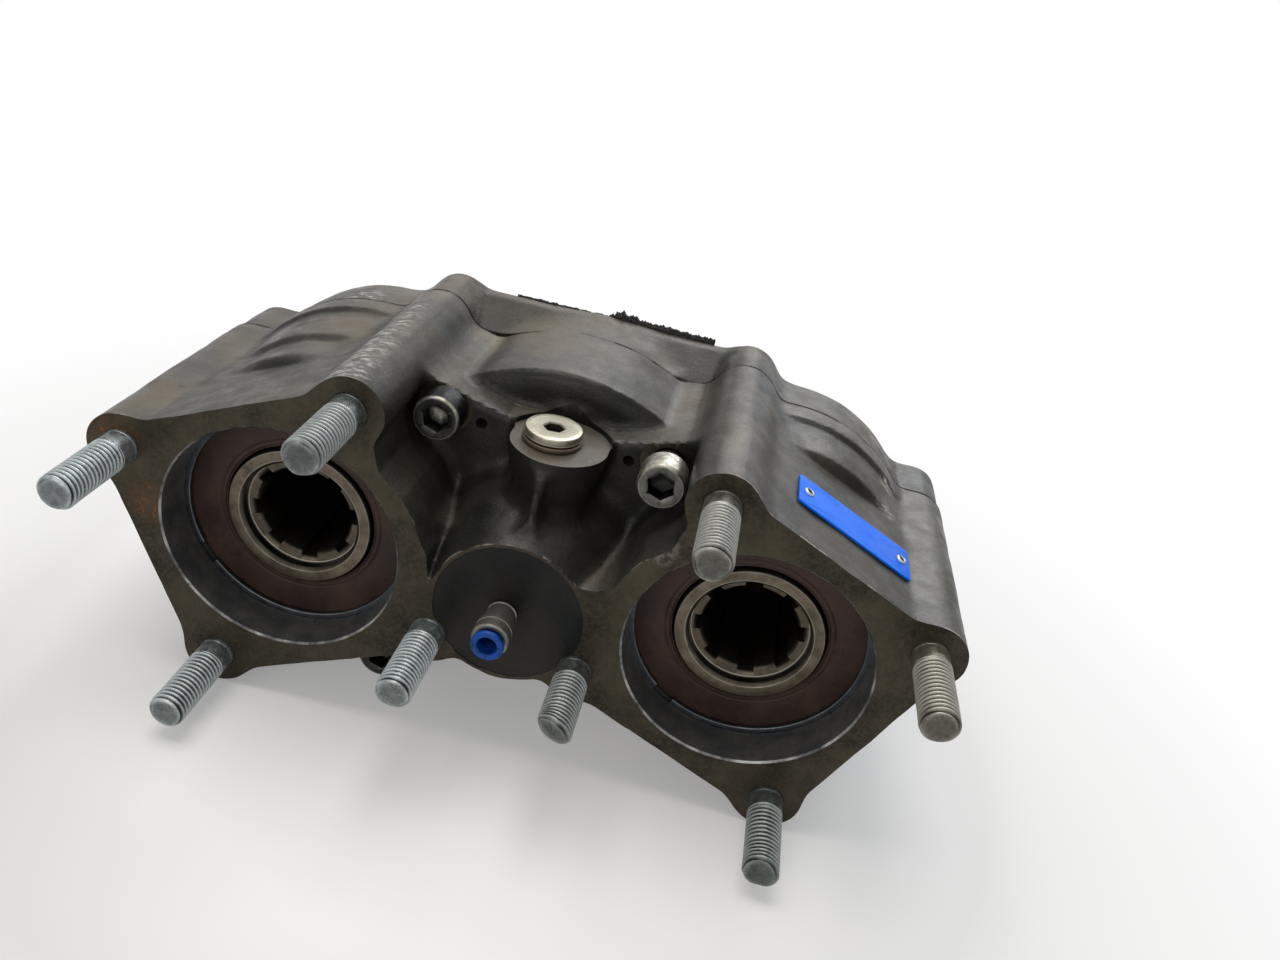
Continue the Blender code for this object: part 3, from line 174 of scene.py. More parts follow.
def cast_skin(name, distance, low, cell):
    """The surface where a distance is zero. Each grid cell that it crosses gets one point, at the mean of
    its crossings on the cell's edges, and the four cells round a crossed grid edge make a face."""
    inside = distance < 0
    steps = [(a, b, c) for a in (0, 1) for b in (0, 1) for c in (0, 1)]
    cells = np.array(distance.shape) - 1
    count = sum(inside[a:a + cells[0], b:b + cells[1], c:c + cells[2]].astype(np.uint8) for a, b, c in steps)
    crossed = (count > 0) & (count < 8)
    number = np.full(crossed.shape, -1, np.int64)
    number[crossed] = np.arange(crossed.sum())
    at = np.argwhere(crossed)
    total, hits = np.zeros((len(at), 3)), np.zeros(len(at))
    for start in steps:
        for axis in range(3):
            if start[axis]:
                continue
            end = list(start)
            end[axis] = 1
            here = distance[tuple((at + start).T)]
            there = distance[tuple((at + end).T)]
            cross = (here < 0) != (there < 0)
            share = np.where(cross, here / np.where(cross, here - there, 1), 0)
            total[:, axis] += share * cross
            for other in range(3):
                if other != axis:
                    total[:, other] += start[other] * cross
            hits += cross
    points = np.array(low) + cell * (at + total / hits[:, None])
    faces = []
    for axis in range(3):
        first, second = (axis + 1) % 3, (axis + 2) % 3
        near = np.moveaxis(inside, (axis, first, second), (0, 1, 2))
        numbers = np.moveaxis(number, (axis, first, second), (0, 1, 2))
        change = near[:-1, 1:-1, 1:-1] != near[1:, 1:-1, 1:-1]
        i, j, k = np.nonzero(change)
        quad = np.stack([numbers[i, j, k], numbers[i, j + 1, k], numbers[i, j + 1, k + 1],
                         numbers[i, j, k + 1]], 1)
        out = near[:-1, 1:-1, 1:-1][i, j, k]
        faces.append(np.where(out[:, None], quad, quad[:, ::-1]))
    return mesh_object(name, points, np.concatenate(faces))


def whole_turn(count):
    """That many angles, evenly spaced round a turn."""
    return 2 * np.pi * np.arange(count) / count


def woven(rows, columns, closed=False):
    """The faces between neighbouring rows of points that go all round. Closed, the last row meets the
    first."""
    i, j = np.meshgrid(np.arange(rows - 1 + closed), np.arange(columns), indexing="ij")
    ahead, across = (i + 1) % rows, (j + 1) % columns
    quads = [i * columns + j, i * columns + across, ahead * columns + across, ahead * columns + j]
    return np.stack(quads, -1).reshape(-1, 4)


def lathe(name, profile, centre, axis="y", sides=64):
    """A profile of (radius, place) points carried round an axis; a radius of 0 closes an end."""
    profile = np.array(profile, float)
    angle = whole_turn(sides)
    radius, along = profile[:, 0][:, None], np.broadcast_to(profile[:, 1][:, None], (len(profile), sides))
    a, b = radius * np.cos(angle), radius * np.sin(angle)
    if axis == "y":
        points = np.stack([centre[0] + a, along, centre[1] + b], -1)
    else:
        points = np.stack([centre[0] + b, centre[1] + a, along], -1)
    hollow = profile[0, 0] != 0 and profile[-1, 0] != 0
    item = mesh_object(name, points.reshape(-1, 3), woven(len(profile), sides, closed=bool(hollow)))
    welded(item)
    return item


def welded(item):
    """Merges points within 2 microns, drops faces with no area, and turns the faces outwards."""
    close = 0.000002
    edit = bmesh.new()
    edit.from_mesh(item.data)
    bmesh.ops.remove_doubles(edit, verts=edit.verts, dist=close)
    bmesh.ops.dissolve_degenerate(edit, edges=edit.edges, dist=close)
    bmesh.ops.recalc_face_normals(edit, faces=edit.faces)
    edit.to_mesh(item.data)
    edit.free()


def machined(item, cutters):
    """Cuts every cutter from the item. Each cut face keeps its cutter's material, and edges over 38 degrees
    stay sharp."""
    group = bpy.data.collections.new(item.name + "_cutters")
    for cutter in cutters:
        bpy.context.scene.collection.objects.unlink(cutter)
        group.objects.link(cutter)
    bpy.context.scene.collection.children.link(group)
    cut = item.modifiers.new("machined", "BOOLEAN")
    cut.operation = "DIFFERENCE"
    cut.operand_type = "COLLECTION"
    cut.collection = group
    cut.solver = "MANIFOLD"
    cut.material_mode = "TRANSFER"
    bpy.context.view_layer.update()
    mesh = bpy.data.meshes.new_from_object(item.evaluated_get(bpy.context.evaluated_depsgraph_get()))
    item.modifiers.clear()
    item.data = mesh
    for cutter in list(group.objects):
        bpy.data.objects.remove(cutter)
    bpy.data.collections.remove(group)
    mesh.shade_smooth()
    mesh.set_sharp_from_angle(angle=math.radians(38))


def stud_square(side):
    """The four stud places of one wing, from the inner high one clockwise on the right-hand wing."""
    places = [turned_back(HALF_SQUARE * u, HALF_SQUARE * w) for u, w in ((-1, 1), (1, 1), (1, -1), (-1, -1))]
    return [(side * (SPREAD + a), b) for a, b in places]


def wing_outline(x, z):
    """Distance to the right wing's flange outline: straight walls, and a round lobe at each stud."""
    walls = [(-HALF_SQUARE, HALF_SQUARE), (-HALF_SQUARE, TOP_WALL), (HALF_SQUARE, TOP_WALL),
             (OUTER_WALL, HALF_SQUARE), (OUTER_WALL, -HALF_SQUARE), (HALF_SQUARE, -LOWER_WALL),
             (-HALF_SQUARE, -LOWER_WALL), (-HALF_SQUARE, -HALF_SQUARE)]
    corners = [turned_back(u, w) for u, w in walls]
    flat = polygon(x, z, [(SPREAD + a, b) for a, b in corners] + INNER_EDGE)
    for a, b in stud_square(1):
        flat = joined(flat, np.hypot(x - a, z - b) - LOBE, LOBE_FILLET)
    return flat


def ring_section(x, y, z, centre, profile):
    """Distance to a turned body: the distance to its half section, taken at each point's radius."""
    return polygon(np.hypot(x - centre[0], z - centre[1]), y, profile)


CAST_FRONT, CAST_BACK = -4.0, SEAM + 4.0
GRID_X, GRID_Z = 146.0, 70.0
LUG_RADIUS, LUG_START = 11.0, 29.4
x, y, z = grid((-GRID_X, CAST_FRONT - 2, -GRID_Z), (GRID_X, CAST_BACK + 2, GRID_Z), CELL)
mirrored = np.abs(x)
casting = between(wing_outline(mirrored, z), y, CAST_FRONT, CAST_BACK)
bulge = [(0, CAST_BACK), (BULGE_RADIUS, CAST_BACK), (BULGE_RADIUS, 78.0), (52.6, 75.5), (50.6, 59.5),
         (49.0, 58.0), (0, 58.0)]
casting = joined(casting, ring_section(mirrored, y, z, (SPREAD, 0), bulge), 2.0)
ledge = [(0, 70.0), (52.0, 70.0), (51.5, 55.5), (49.7, 51.5), (49.6, 39.0), (48.2, 35.5), (0, 35.5)]
casting = joined(casting, ring_section(x, y, z, (-SPREAD, 0), ledge), 1.6)
lug = np.hypot(mirrored - LOWER_SCREW[0], z - LOWER_SCREW[1]) - LUG_RADIUS - (y - LUG_START) / 60.0
casting = joined(casting, between(lug, y, LUG_START, CAST_BACK), 3.0)

drum = [(0, CAST_BACK), (DRUM_RADIUS, CAST_BACK), (DRUM_RADIUS, 49.0), (64.2, 47.2), (60.8, 46.4), (0, 46.4)]
drum = ring_section(x, y, z, DRIVE_AXIS, drum)
drum = -joined(-drum, z + DRUM_FLAT, 4.0)
crown = [(0, 46.4), (17.0, 46.3), (28.8, 49.2), (38.0, 52.2), (48.0, 54.6), (48.0, -30.0), (32.0, -51.0),
         (0, -51.0)]
middle = joined(drum, between(polygon(mirrored, z, crown), y, RECESS, CAST_BACK, 0.8), 2.5)
boss = [(0, 46.0), (38.5, 46.0), (36.0, 35.0), (26.0, 0.0), (25.3, CAST_FRONT), (0, CAST_FRONT)]
middle = joined(middle, ring_section(x, y, z, DRIVE_AXIS, boss), 5.0)
port = [(0, PORT_TOP + 3), (16.2, PORT_TOP + 3), (16.0, PORT_TOP - 3), (15.0, PORT_TOP - 8), (8.5, 12.0),
        (0, 12.0)]
middle = joined(middle, polygon(np.hypot(x - PORT_BOSS_X, y - PORT_AT[1]), z, port), 5.0)
rib = np.maximum(np.abs(x - 1.2) - 1.3, np.maximum(7.6 + (z - 22) * 0.17 - y, y - PORT_AT[1]))
middle = joined(middle, np.maximum(rib, np.maximum(16 - z, z - 40)), 5.0)
web = [(12.0, 10.0), (29.5, 13.0), (34.0, -4.0), (32.0, -16.0), (20.0, -22.0), (8.0, -20.0)]
web = between(polygon(mirrored, z, web), y, np.where(x > 0, CAST_FRONT, 14.0), 41.0, 1.0)
middle = joined(middle, web, 3.0)
casting = joined(casting, middle, 5.0)
casting += 0.22 * lumps(x, y, z, 9.0, 3) + 0.10 * lumps(x, y, z, 4.0, 4)
front_housing = cast_skin("front_housing_casting", casting, (-GRID_X, CAST_FRONT - 2, -GRID_Z), CELL)


def add(owner, kind, inputs=(), **settings):
    """A shader node in the owner's tree: settings are its own, and inputs are (socket, value or the output
    that feeds it)."""
    tree = owner.id_data
    node = tree.nodes.new("ShaderNode" + kind)
    for key, value in settings.items():
        setattr(node, key, value)
    for socket, value in inputs:
        if isinstance(value, bpy.types.NodeSocket):
            tree.links.new(value, node.inputs[socket])
        else:
            node.inputs[socket].default_value = value
    return node


def feed(node, socket, value):
    """Links an output to a socket of a node."""
    node.id_data.links.new(value, node.inputs[socket])


def new_finish(name, colour, roughness, metallic=0.0, **sockets):
    """A Principled material with its shader and its object coordinates in metres."""
    made = bpy.data.materials.new(name)
    made.use_nodes = True
    shader = made.node_tree.nodes["Principled BSDF"]
    shader.inputs["Base Color"].default_value = (*colour, 1)
    shader.inputs["Roughness"].default_value = roughness
    shader.inputs["Metallic"].default_value = metallic
    for key, value in sockets.items():
        shader.inputs[key.replace("_", " ")].default_value = value
    return made, shader, add(shader, "TexCoord").outputs["Object"]


def grain(place, size, detail=3.0, rough=0.55, distortion=0.0):
    """Noise whose lumps are about that many millimetres across."""
    return add(place, "TexNoise", [("Vector", place), ("Scale", 1000.0 / size), ("Detail", detail),
                                   ("Roughness", rough), ("Distortion", distortion)]).outputs["Fac"]


def level(value, low, high, start=0.0, end=1.0):
    """The value taken from low..high to start..end, and held there beyond."""
    ends = [("From Min", low), ("From Max", high), ("To Min", start), ("To Max", end)]
    return add(value, "MapRange", [("Value", value)] + ends).outputs["Result"]


def reckon(operation, first, second=0.0):
    """One step of arithmetic on two values."""
    return add(first, "Math", [(0, first), (1, second)], operation=operation).outputs[0]


def blended(share, first, second):
    """A colour between two, by share."""
    ends = [value if isinstance(value, bpy.types.NodeSocket) else (*value, 1) for value in (first, second)]
    return add(share, "Mix", [(0, share), (6, ends[0]), (7, ends[1])], data_type="RGBA").outputs[2]


def relief(shader, height, depth):
    """Bump of that many millimetres, on top of what already bends the normal."""
    bump = add(shader, "Bump", [("Height", height), ("Distance", depth * MM)])
    before = shader.inputs["Normal"].links
    if before:
        feed(bump, "Normal", before[0].from_socket)
    feed(shader, "Normal", bump.outputs["Normal"])


def coated(shader, base, dullness):
    """Feeds the colour and the roughness of a finish."""
    feed(shader, "Base Color", base)
    feed(shader, "Roughness", dullness)


def near(place, point, reach):
    """1 at a point of the unit's frame, falling to 0 at that reach in millimetres."""
    x, y, z = point
    world = (x * MM, FRONT_Y + y * MM, AXIS_Z + z * MM)
    away = add(place, "VectorMath", [(0, place), (1, world)], operation="DISTANCE").outputs["Value"]
    return level(away, 0.0, reach * MM, 1.0, 0.0)


def nearest(place, spots):
    """The greatest nearness to any of the spots, each a point and its reach."""
    found = 0.0
    for point, reach in spots:
        found = reckon("MAXIMUM", near(place, point, reach), found)
    return found


def cast_paint():
    """Grey paint over a sand casting, with painted light: pale on faces turned up, dark on faces turned
    forward, down and sideways. Rubbed bright on one lobe; painted glints on two bulge crests and painted
    light in two hollows; oil in the seam; paint chips pale along the front edge, with a painted edge
    highlight."""
    made, shader, place = new_finish("grey_cast_paint", (0.06, 0.06, 0.06), 0.4, 0.15)
    normal = add(place, "SeparateXYZ", [("Vector", add(place, "NewGeometry").outputs["Normal"])]).outputs
    # Painted light: faces turned up take the pale lit tone, and faces turned forward, down and sideways take
    # the dark shaded tone.
    up = reckon("MULTIPLY", level(normal["Z"], -0.25, 0.95), level(normal["Y"], -0.38, -0.08, 0.16, 1.0))
    aside = reckon("ABSOLUTE", reckon("ADD", normal["X"], 0.06))
    up = reckon("MULTIPLY", up, level(aside, 0.14, 0.42, 1.0, 0.45))
    tint = level(grain(place, 30.0, 2.0), 0.36, 0.64)
    shaded_tone = blended(tint, (0.007, 0.0095, 0.009), (0.023, 0.020, 0.016))
    lit_tone = blended(tint, (0.054, 0.053, 0.049), (0.100, 0.082, 0.060))
    base = blended(up, shaded_tone, lit_tone)
    # Pale specks lie only where the painted light falls.
    speck = level(grain(place, 0.9, 4.0, 0.75), 0.46, 0.66, 0.0, 0.75)
    base = blended(reckon("MULTIPLY", speck, up), base, (0.110, 0.098, 0.080))
    # Painted light: two hollows are lightened to a pale brown on their upturned faces.
    hollows = (((-42.0, 84.0, 54.0), 26.0, (0.23, 0.195, 0.14)),
               ((45.0, 70.0, 52.0), 24.0, (0.17, 0.135, 0.10)))
    for point, reach, hollow_light in hollows:
        hollow_lit_share = reckon("MULTIPLY", level(near(place, point, reach), 0.0, 0.9, 0.0, 0.6), up)
        hollow_lit_share = reckon("MULTIPLY", hollow_lit_share, level(grain(place, 6.0, 5.0, 0.7), 0.30, 0.55))
        base = blended(hollow_lit_share, base, hollow_light)
    pits = level(grain(place, 5.0, 5.0, 0.7), 0.62, 0.76)
    base = blended(pits, base, (0.012, 0.011, 0.010))
    # Pale rubbed strokes: worn paint along the left lobe's shoulder, which also stands for its glints, and
    # painted glints on the left bulge's crest and on two spots of the right wing.
    rubs_and_glints = [((-61.0, 4.0, 61.0), 9.5), ((-91.0, 93.0, 53.5), 10.0), ((116.5, 60.0, 38.5), 7.0),
            ((118.0, 75.0, 39.0), 7.0)]
    rubs_and_glints += [((-61.0 + 0.02 * back, back, 61.0), 9.5 - 0.06 * back) for back in range(13, 68, 9)]
    across = add(place, "Mapping", [("Vector", place), ("Scale", (0.35, 1.0, 0.35))]).outputs[0]
    scratch = level(grain(across, 1.6, 4.0, 0.7), 0.47, 0.64)
    worn = reckon("MULTIPLY", level(nearest(place, rubs_and_glints), 0.05, 0.70), scratch)
    base = blended(worn, base, (0.54, 0.53, 0.49))
    depth = add(place, "SeparateXYZ", [("Vector", place)]).outputs["Y"]
    off_seam = reckon("ABSOLUTE", reckon("SUBTRACT", depth, FRONT_Y + SEAM * MM))
    seam = reckon("MULTIPLY", level(off_seam, 0.7 * MM, 1.8 * MM, 1, 0),
                  level(grain(place, 16.0, 3.0), 0.36, 0.50))
    base = blended(seam, base, (0.006, 0.005, 0.004))
    shine = reckon("MULTIPLY", level(up, 0, 1, 0.14, 0.45), level(aside, 0.14, 0.42, 1.0, 0.40))
    shine = reckon("MULTIPLY", shine, level(seam, 0, 1, 1, 0))
    feed(shader, "Specular IOR Level", shine)
    # A pale band on the side faces just behind the front edge: paint chips and a painted edge highlight.
    chips_and_edge_light = reckon("MULTIPLY", level(depth, FRONT_Y + 0.3 * MM, FRONT_Y + 1.0 * MM, 1, 0),
                     level(grain(place, 15.0, 4.0, 0.7), 0.50, 0.58))
    sideways = level(reckon("ABSOLUTE", normal["Y"]), 0.4, 0.8, 1.0, 0.0)
    base = blended(reckon("MULTIPLY", chips_and_edge_light, sideways), base, (0.24, 0.23, 0.20))
    feed(shader, "Metallic", level(worn, 0, 1, 0.15, 0.7))
    gloss = level(grain(place, 7.0, 4.0), 0.35, 0.65, 0.27, 0.46)
    coated(shader, base, reckon("ADD", gloss, level(up, 0.4, 1.0, 0.0, 0.12)))
    relief(shader, grain(place, 2.2, 5.0, 0.62), 0.17)
    relief(shader, grain(place, 0.8, 2.0), 0.10)
    return made


def milled_iron():
    """Machined iron faces under old oil: brown, dull, with faint cutter marks and a few specks of rust."""
    made, shader, place = new_finish("milled_iron", (0.07, 0.055, 0.04), 0.45, 0.45,
                                     Specular_IOR_Level=0.2)
    tint = level(grain(place, 18.0, 5.0, 0.6), 0.36, 0.66)
    base = blended(tint, (0.018, 0.0155, 0.010), (0.062, 0.052, 0.034))
    speck = level(grain(place, 1.2, 5.0, 0.7), 0.42, 0.70, 0.0, 0.7)
    base = blended(speck, base, (0.072, 0.061, 0.042))
    rust = nearest(place, [((-133.0, 0, 22.0), 13.0), ((-122.0, 0, 2.0), 11.0)])
    base = blended(level(rust, 0.0, 1.0, 0.0, 0.75), base, (0.088, 0.050, 0.027))
    rust = reckon("MULTIPLY", rust, level(grain(place, 2.2, 4.0, 0.65), 0.52, 0.64))
    base = blended(level(rust, 0.15, 0.9), base, (0.20, 0.060, 0.022))
    rubbed = reckon("MULTIPLY", level(near(place, (43.0, 0, 34.0), 8.0), 0.1, 0.6),
                    level(grain(place, 2.0, 4.0), 0.38, 0.60))
    base = blended(rubbed, base, (0.17, 0.14, 0.13))
    coated(shader, base, level(grain(place, 6.0, 4.0), 0.35, 0.65, 0.34, 0.55))
    relief(shader, grain(place, 1.0, 4.0, 0.6), 0.08)
    marks = add(place, "TexWave", [("Vector", place), ("Scale", 420.0), ("Distortion", 1.2)],
                wave_type="RINGS", rings_direction="Y").outputs["Fac"]
    relief(shader, marks, 0.015)
    return made


def bored_iron(name, dark, pale, metal):
    """Bored walls: blue-grey, pitted and stained. The rims that lost their paint are the pale sort."""
    made, shader, place = new_finish(name, dark, 0.35, metal)
    tint = level(grain(place, 9.0, 5.0, 0.65), 0.40, 0.62)
    base = blended(tint, dark, pale)
    pits = level(grain(place, 2.4, 4.0, 0.7), 0.60, 0.70)
    base = blended(pits, base, (0.014, 0.013, 0.012))
    coated(shader, base, level(pits, 0, 1, 0.30, 0.7))
    relief(shader, pits, -0.12)
    return made


def cut_with(cutter, finish):
    """Gives a cutter the finish that its cut faces take."""
    cutter.data.materials.append(finish)
    return cutter


def slab(name, start, end, finish):
    """A cutter across the whole casting from one depth to another, past its widest and highest points."""
    wide, high = GRID_X + 14, GRID_Z + 20
    corners = np.array([[a, b, c] for a in (-wide, wide) for b in (start, end) for c in (-high, high)])
    faces = [(0, 1, 3, 2), (4, 6, 7, 5), (0, 4, 5, 1), (2, 3, 7, 6), (0, 2, 6, 4), (1, 5, 7, 3)]
    return cut_with(mesh_object(name, corners, faces, smooth=False), finish)


def stepped(name, centre, start, steps, finish, sides=64, axis="y"):
    """A round cutter: from its start it has each step's radius as far as that step's end."""
    profile = [(0, start)]
    for radius, end in steps:
        profile += [(radius, profile[-1][1]), (radius, end)]
    profile.append((0, profile[-1][1]))
    return cut_with(lathe(name, profile, centre, axis, sides), finish)


GREY_PAINT, MILLED = cast_paint(), milled_iron()
BORED = bored_iron("bored_iron", (0.060, 0.066, 0.070), (0.115, 0.115, 0.108), 0.10)
RIM = bored_iron("rubbed_rim", (0.07, 0.07, 0.07), (0.34, 0.34, 0.33), 0.7)
GEAR_WALL, DRIVE_WALL, BEARING_SEAT, DRIVE_SEAT = 42.0, 48.0, 40.0, 36.0
PILOT_DEPTH, RING_GROOVE, RING_WIDTH, SEAL_END = 14.6, 1.6, 2.1, 46.3
HOLE_START, HOLE_END = -3.0, SEAM + 5
SCREW_HOLE = 5.5
UPPER_SEAT, LOWER_SEAT = (9.6, RECESS + 0.6), (8.8, 30.0)
STUD_HOLE = (6.1, 23.0)
PIN_AT, PIN_HOLE = (25.2, 41.7), 2.0
BOSS_FACE = (25.0, 0.3)
SLEEVE_BORE, AIR_PORT, PORT_SEAT, PORT_BORE = 16.0, 4.6, 17.4, 7.2
front_housing.data.materials.append(GREY_PAINT)
cutters = [slab("front_face_cut", -20, 0, MILLED), slab("seam_cut", SEAM, SEAM + 20, MILLED)]
rim = [(0, -0.6), (PILOT + 1.2, -0.6), (PILOT, 0.6), (0, 0.6)]
bore = [(PILOT, PILOT_DEPTH), (PILOT + RING_GROOVE, PILOT_DEPTH + RING_WIDTH), (BEARING_SEAT, SEAL_END),
        (GEAR_WALL, HOLE_END)]
seats = (("upper_seat_cut", UPPER_SCREW, UPPER_SEAT), ("lower_seat_cut", LOWER_SCREW, LOWER_SEAT))
for side in (1, -1):
    cutters.append(cut_with(lathe("pilot_rim_cut", rim, (side * SPREAD, 0), sides=160), RIM))
    cutters.append(stepped("pilot_cut", (side * SPREAD, 0), HOLE_START, bore, BORED, 160))
    for name, (a, b), seat in seats:
        steps = [seat, (SCREW_HOLE, HOLE_END)]
        cutters.append(stepped(name, (side * a, b), HOLE_START, steps, MILLED, 56))
    pin = (side * PIN_AT[0], PIN_AT[1])
    cutters.append(stepped("pin_hole_cut", pin, RECESS - 6, [(PIN_HOLE, RECESS + 10)], MILLED, 24))
    for at in stud_square(side):
        cutters.append(stepped("stud_hole_cut", at, HOLE_START, [STUD_HOLE], MILLED, 40))
port_mouth = (PORT_BOSS_X, PORT_AT[1])
drive_bore = [(SLEEVE_BORE, 41.0), (DRIVE_SEAT, 53.0), (DRIVE_WALL, HOLE_END)]
cutters += [stepped("boss_face_cut", DRIVE_AXIS, HOLE_START, [BOSS_FACE], GREY_PAINT, 128),
            stepped("drive_bore_cut", DRIVE_AXIS, 8.0, drive_bore, BORED, 96),
            stepped("air_port_cut", (-1.5, DROP), HOLE_START, [(AIR_PORT, 9.0)], MILLED, 32),
            stepped("port_seat_cut", port_mouth, 75.0, [(PORT_SEAT, PORT_TOP)], GREY_PAINT, 96, "z"),
            stepped("port_bore_cut", PORT_AT, 60.0, [(PORT_BORE, 0.0)], BORED, axis="z")]
machined(front_housing, cutters)
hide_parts("front_housing")
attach(front_housing, "housing")


# Rear cover: the second iron casting, which closes the gear chamber along the seam and carries the
# gearbox face. It follows the housing's outline a little inside it, and its top flares to a straight edge.
def unit_box(node):
    """The low and high corners of a node's box, in the unit's frame."""
    return [np.array((corner.x, corner.y - FRONT_Y, corner.z - AXIS_Z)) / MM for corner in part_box(node)]


BACK = unit_box("gasket_remnant")[0][1] - 0.3
COVER_START = SEAM + 0.3
COVER_INSET = 0.8
COVER_LUG, TOP_EDGE = 12.0, 59.8
COVER_CELL = CELL + 0.2
SPIGOT = (42.0, 31.0, 4.0)

x, y, z = grid((-GRID_X, COVER_START - 5, -GRID_Z), (GRID_X, BACK + 5, GRID_Z), COVER_CELL)
mirrored = np.abs(x)
cover = wing_outline(mirrored, z) + COVER_INSET
rear_bulge = np.hypot(mirrored - SPREAD, z) - BULGE_RADIUS + COVER_INSET + np.maximum(y - 100.0, 0) * 0.09
cover = joined(cover, rear_bulge, 2.0)
cover = joined(cover, np.hypot(mirrored - LOWER_SCREW[0], z - LOWER_SCREW[1]) - COVER_LUG, 3.0)
rear_drum = np.hypot(x, z - DROP) - DRUM_RADIUS + COVER_INSET
rear_drum = -joined(-rear_drum, z + DRUM_FLAT, 4.0)
cover = joined(cover, rear_drum, 4.0)
flare = z - TOP_EDGE + 8.0 * np.clip((BACK - 4.0 - y) / 18.7, 0, 2)
cover = joined(cover, np.maximum(np.maximum(mirrored - 50.0, 30.0 - z), flare), 4.0)
cover = between(cover, y, COVER_START - 3.5, BACK + 3.5)
cover += 0.20 * lumps(x, y, z, 9.0, 5) + 0.08 * lumps(x, y, z, 4.0, 6)
rear_cover = cast_skin("rear_cover_casting", cover, (-GRID_X, COVER_START - 5, -GRID_Z), COVER_CELL)
rear_cover.data.materials.append(GREY_PAINT)
COVER_HOLE_START, COVER_HOLE_END = COVER_START - 5, BACK + 5
cutters = [slab("cover_front_cut", COVER_START - 30, COVER_START, MILLED),
           slab("gearbox_face_cut", BACK, BACK + 30, MILLED)]
for side in (1, -1):
    pocket = [(BEARING_SEAT, COVER_START + 16.6)]
    cutters.append(stepped("bearing_pocket_cut", (side * SPREAD, 0), COVER_HOLE_START, pocket, BORED, 96))
    for at in stud_square(side)[:3]:
        steps = [(4.3, BACK - 9.0), (7.0, COVER_HOLE_END)]
        cutters.append(stepped("cover_seat_cut", at, COVER_HOLE_START, steps, MILLED, 40))
    for a, b in (UPPER_SCREW, LOWER_SCREW):
        steps = [(SCREW_HOLE, COVER_HOLE_END)]
        cutters.append(stepped("cover_hole_cut", (side * a, b), COVER_HOLE_START, steps, MILLED, 32))
pocket = [(DRIVE_SEAT, COVER_START + 12.6), (SPIGOT[1], COVER_HOLE_END)]
cutters.append(stepped("drive_pocket_cut", DRIVE_AXIS, COVER_HOLE_START, pocket, BORED, 96))
machined(rear_cover, cutters)
outer, inner, height = SPIGOT
top = BACK + height
rim = [(inner, top), (outer - 1.0, top), (outer, top - 1.0), (outer, BACK - 0.5), (inner, BACK - 0.5)]
spigot = lathe("gearbox_spigot", rim, DRIVE_AXIS, sides=120)
spigot.data.materials.append(MILLED)
spigot.data.set_sharp_from_angle(angle=math.radians(35))
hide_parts("rear_cover")
for item in (rear_cover, spigot):
    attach(item, "housing")


# Joint residue: black sealant and torn gasket that squeezed up along the gearbox face's top edge when
# the unit was pulled off. It is a crumbly bead, thin on the left and thick on the right.
def bead(name, line, radii, around=20, seed=11):
    """A tube round a line: each ring lies square to the depth, with its radius shaken from point to point."""
    rng = np.random.default_rng(seed)
    line, radii = np.asarray(line, float), np.asarray(radii, float)
    angle = whole_turn(around)
    shake = 1 + 0.38 * rng.uniform(-1, 1, (len(line), around))
    shake[:, -1] = shake[:, 0]
    reach = radii[:, None] * shake
    points = np.stack([np.broadcast_to(line[:, :1], reach.shape), line[:, 1:2] + 0.55 * reach * np.cos(angle),
                       line[:, 2:3] + reach * np.sin(angle)], -1)
    ends = [range(around), (len(line) - 1) * around + np.arange(around)[::-1]]
    item = mesh_object(name, points.reshape(-1, 3), woven(len(line), around)[:, [0, 3, 2, 1]])
    edit = bmesh.new()
    edit.from_mesh(item.data)
    edit.verts.ensure_lookup_table()
    for end in ends:
        edit.faces.new([edit.verts[i] for i in end])
    bmesh.ops.recalc_face_normals(edit, faces=edit.faces)
    edit.to_mesh(item.data)
    edit.free()
    item.data.shade_smooth()
    return item


along = np.arange(-36.0, 43.0, 0.55)
rng = np.random.default_rng(7)
crumb = np.convolve(rng.uniform(0, 1, len(along)), np.ones(3) / 3, "same")
thick = 0.40 + np.interp(along, (-36, 0, 4, 14, 42), (0.25, 0.65, 1.7, 1.2, 0.9)) * (0.5 + crumb)
top = 59.6 + np.interp(along, (-36, 0, 4, 9, 14, 42), (0, 0, 1.2, 1.6, 0.9, 0.5)) * (0.6 + 0.7 * crumb)
residue = bead("joint_residue", np.stack([along, np.full(len(along), BACK + 1.0), top], 1), thick)
made, shader, place = new_finish("black_sealant", (0.012, 0.012, 0.012), 0.75)
crust = level(grain(place, 1.0, 4.0, 0.7), 0.4, 0.65)
base = blended(crust, (0.006, 0.006, 0.006), (0.035, 0.033, 0.030))
feed(shader, "Base Color", base)
relief(shader, grain(place, 0.8, 4.0), 0.5)
residue.data.materials.append(made)
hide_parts("gasket_remnant")
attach(residue, "housing")


# Pump studs: eight M12 studs, rolled thread the whole way but for a short plain shank at the flange,
# zinc plated and dull. Three of them have ends that were knocked about.
PITCH = 1.75
STUD_TIP = unit_box("stud_right_outer_high")[0][1]
SHANK = 7.0
STUD_RADIUS, THREAD_DEPTH, STUD_FOOT, TIP_CHAMFER = 5.95, 1.0, 22.0, 1.3


def wear_and_light_of(shader):
    """The value on a piece's points: below 0 is grime and painted shade, above 0 worn metal and painted
    glints.
    """
    wear = add(shader, "Attribute", attribute_name="wear").outputs["Fac"]
    return level(wear, 0.0, -1.0), level(wear, 0.0, 1.0)


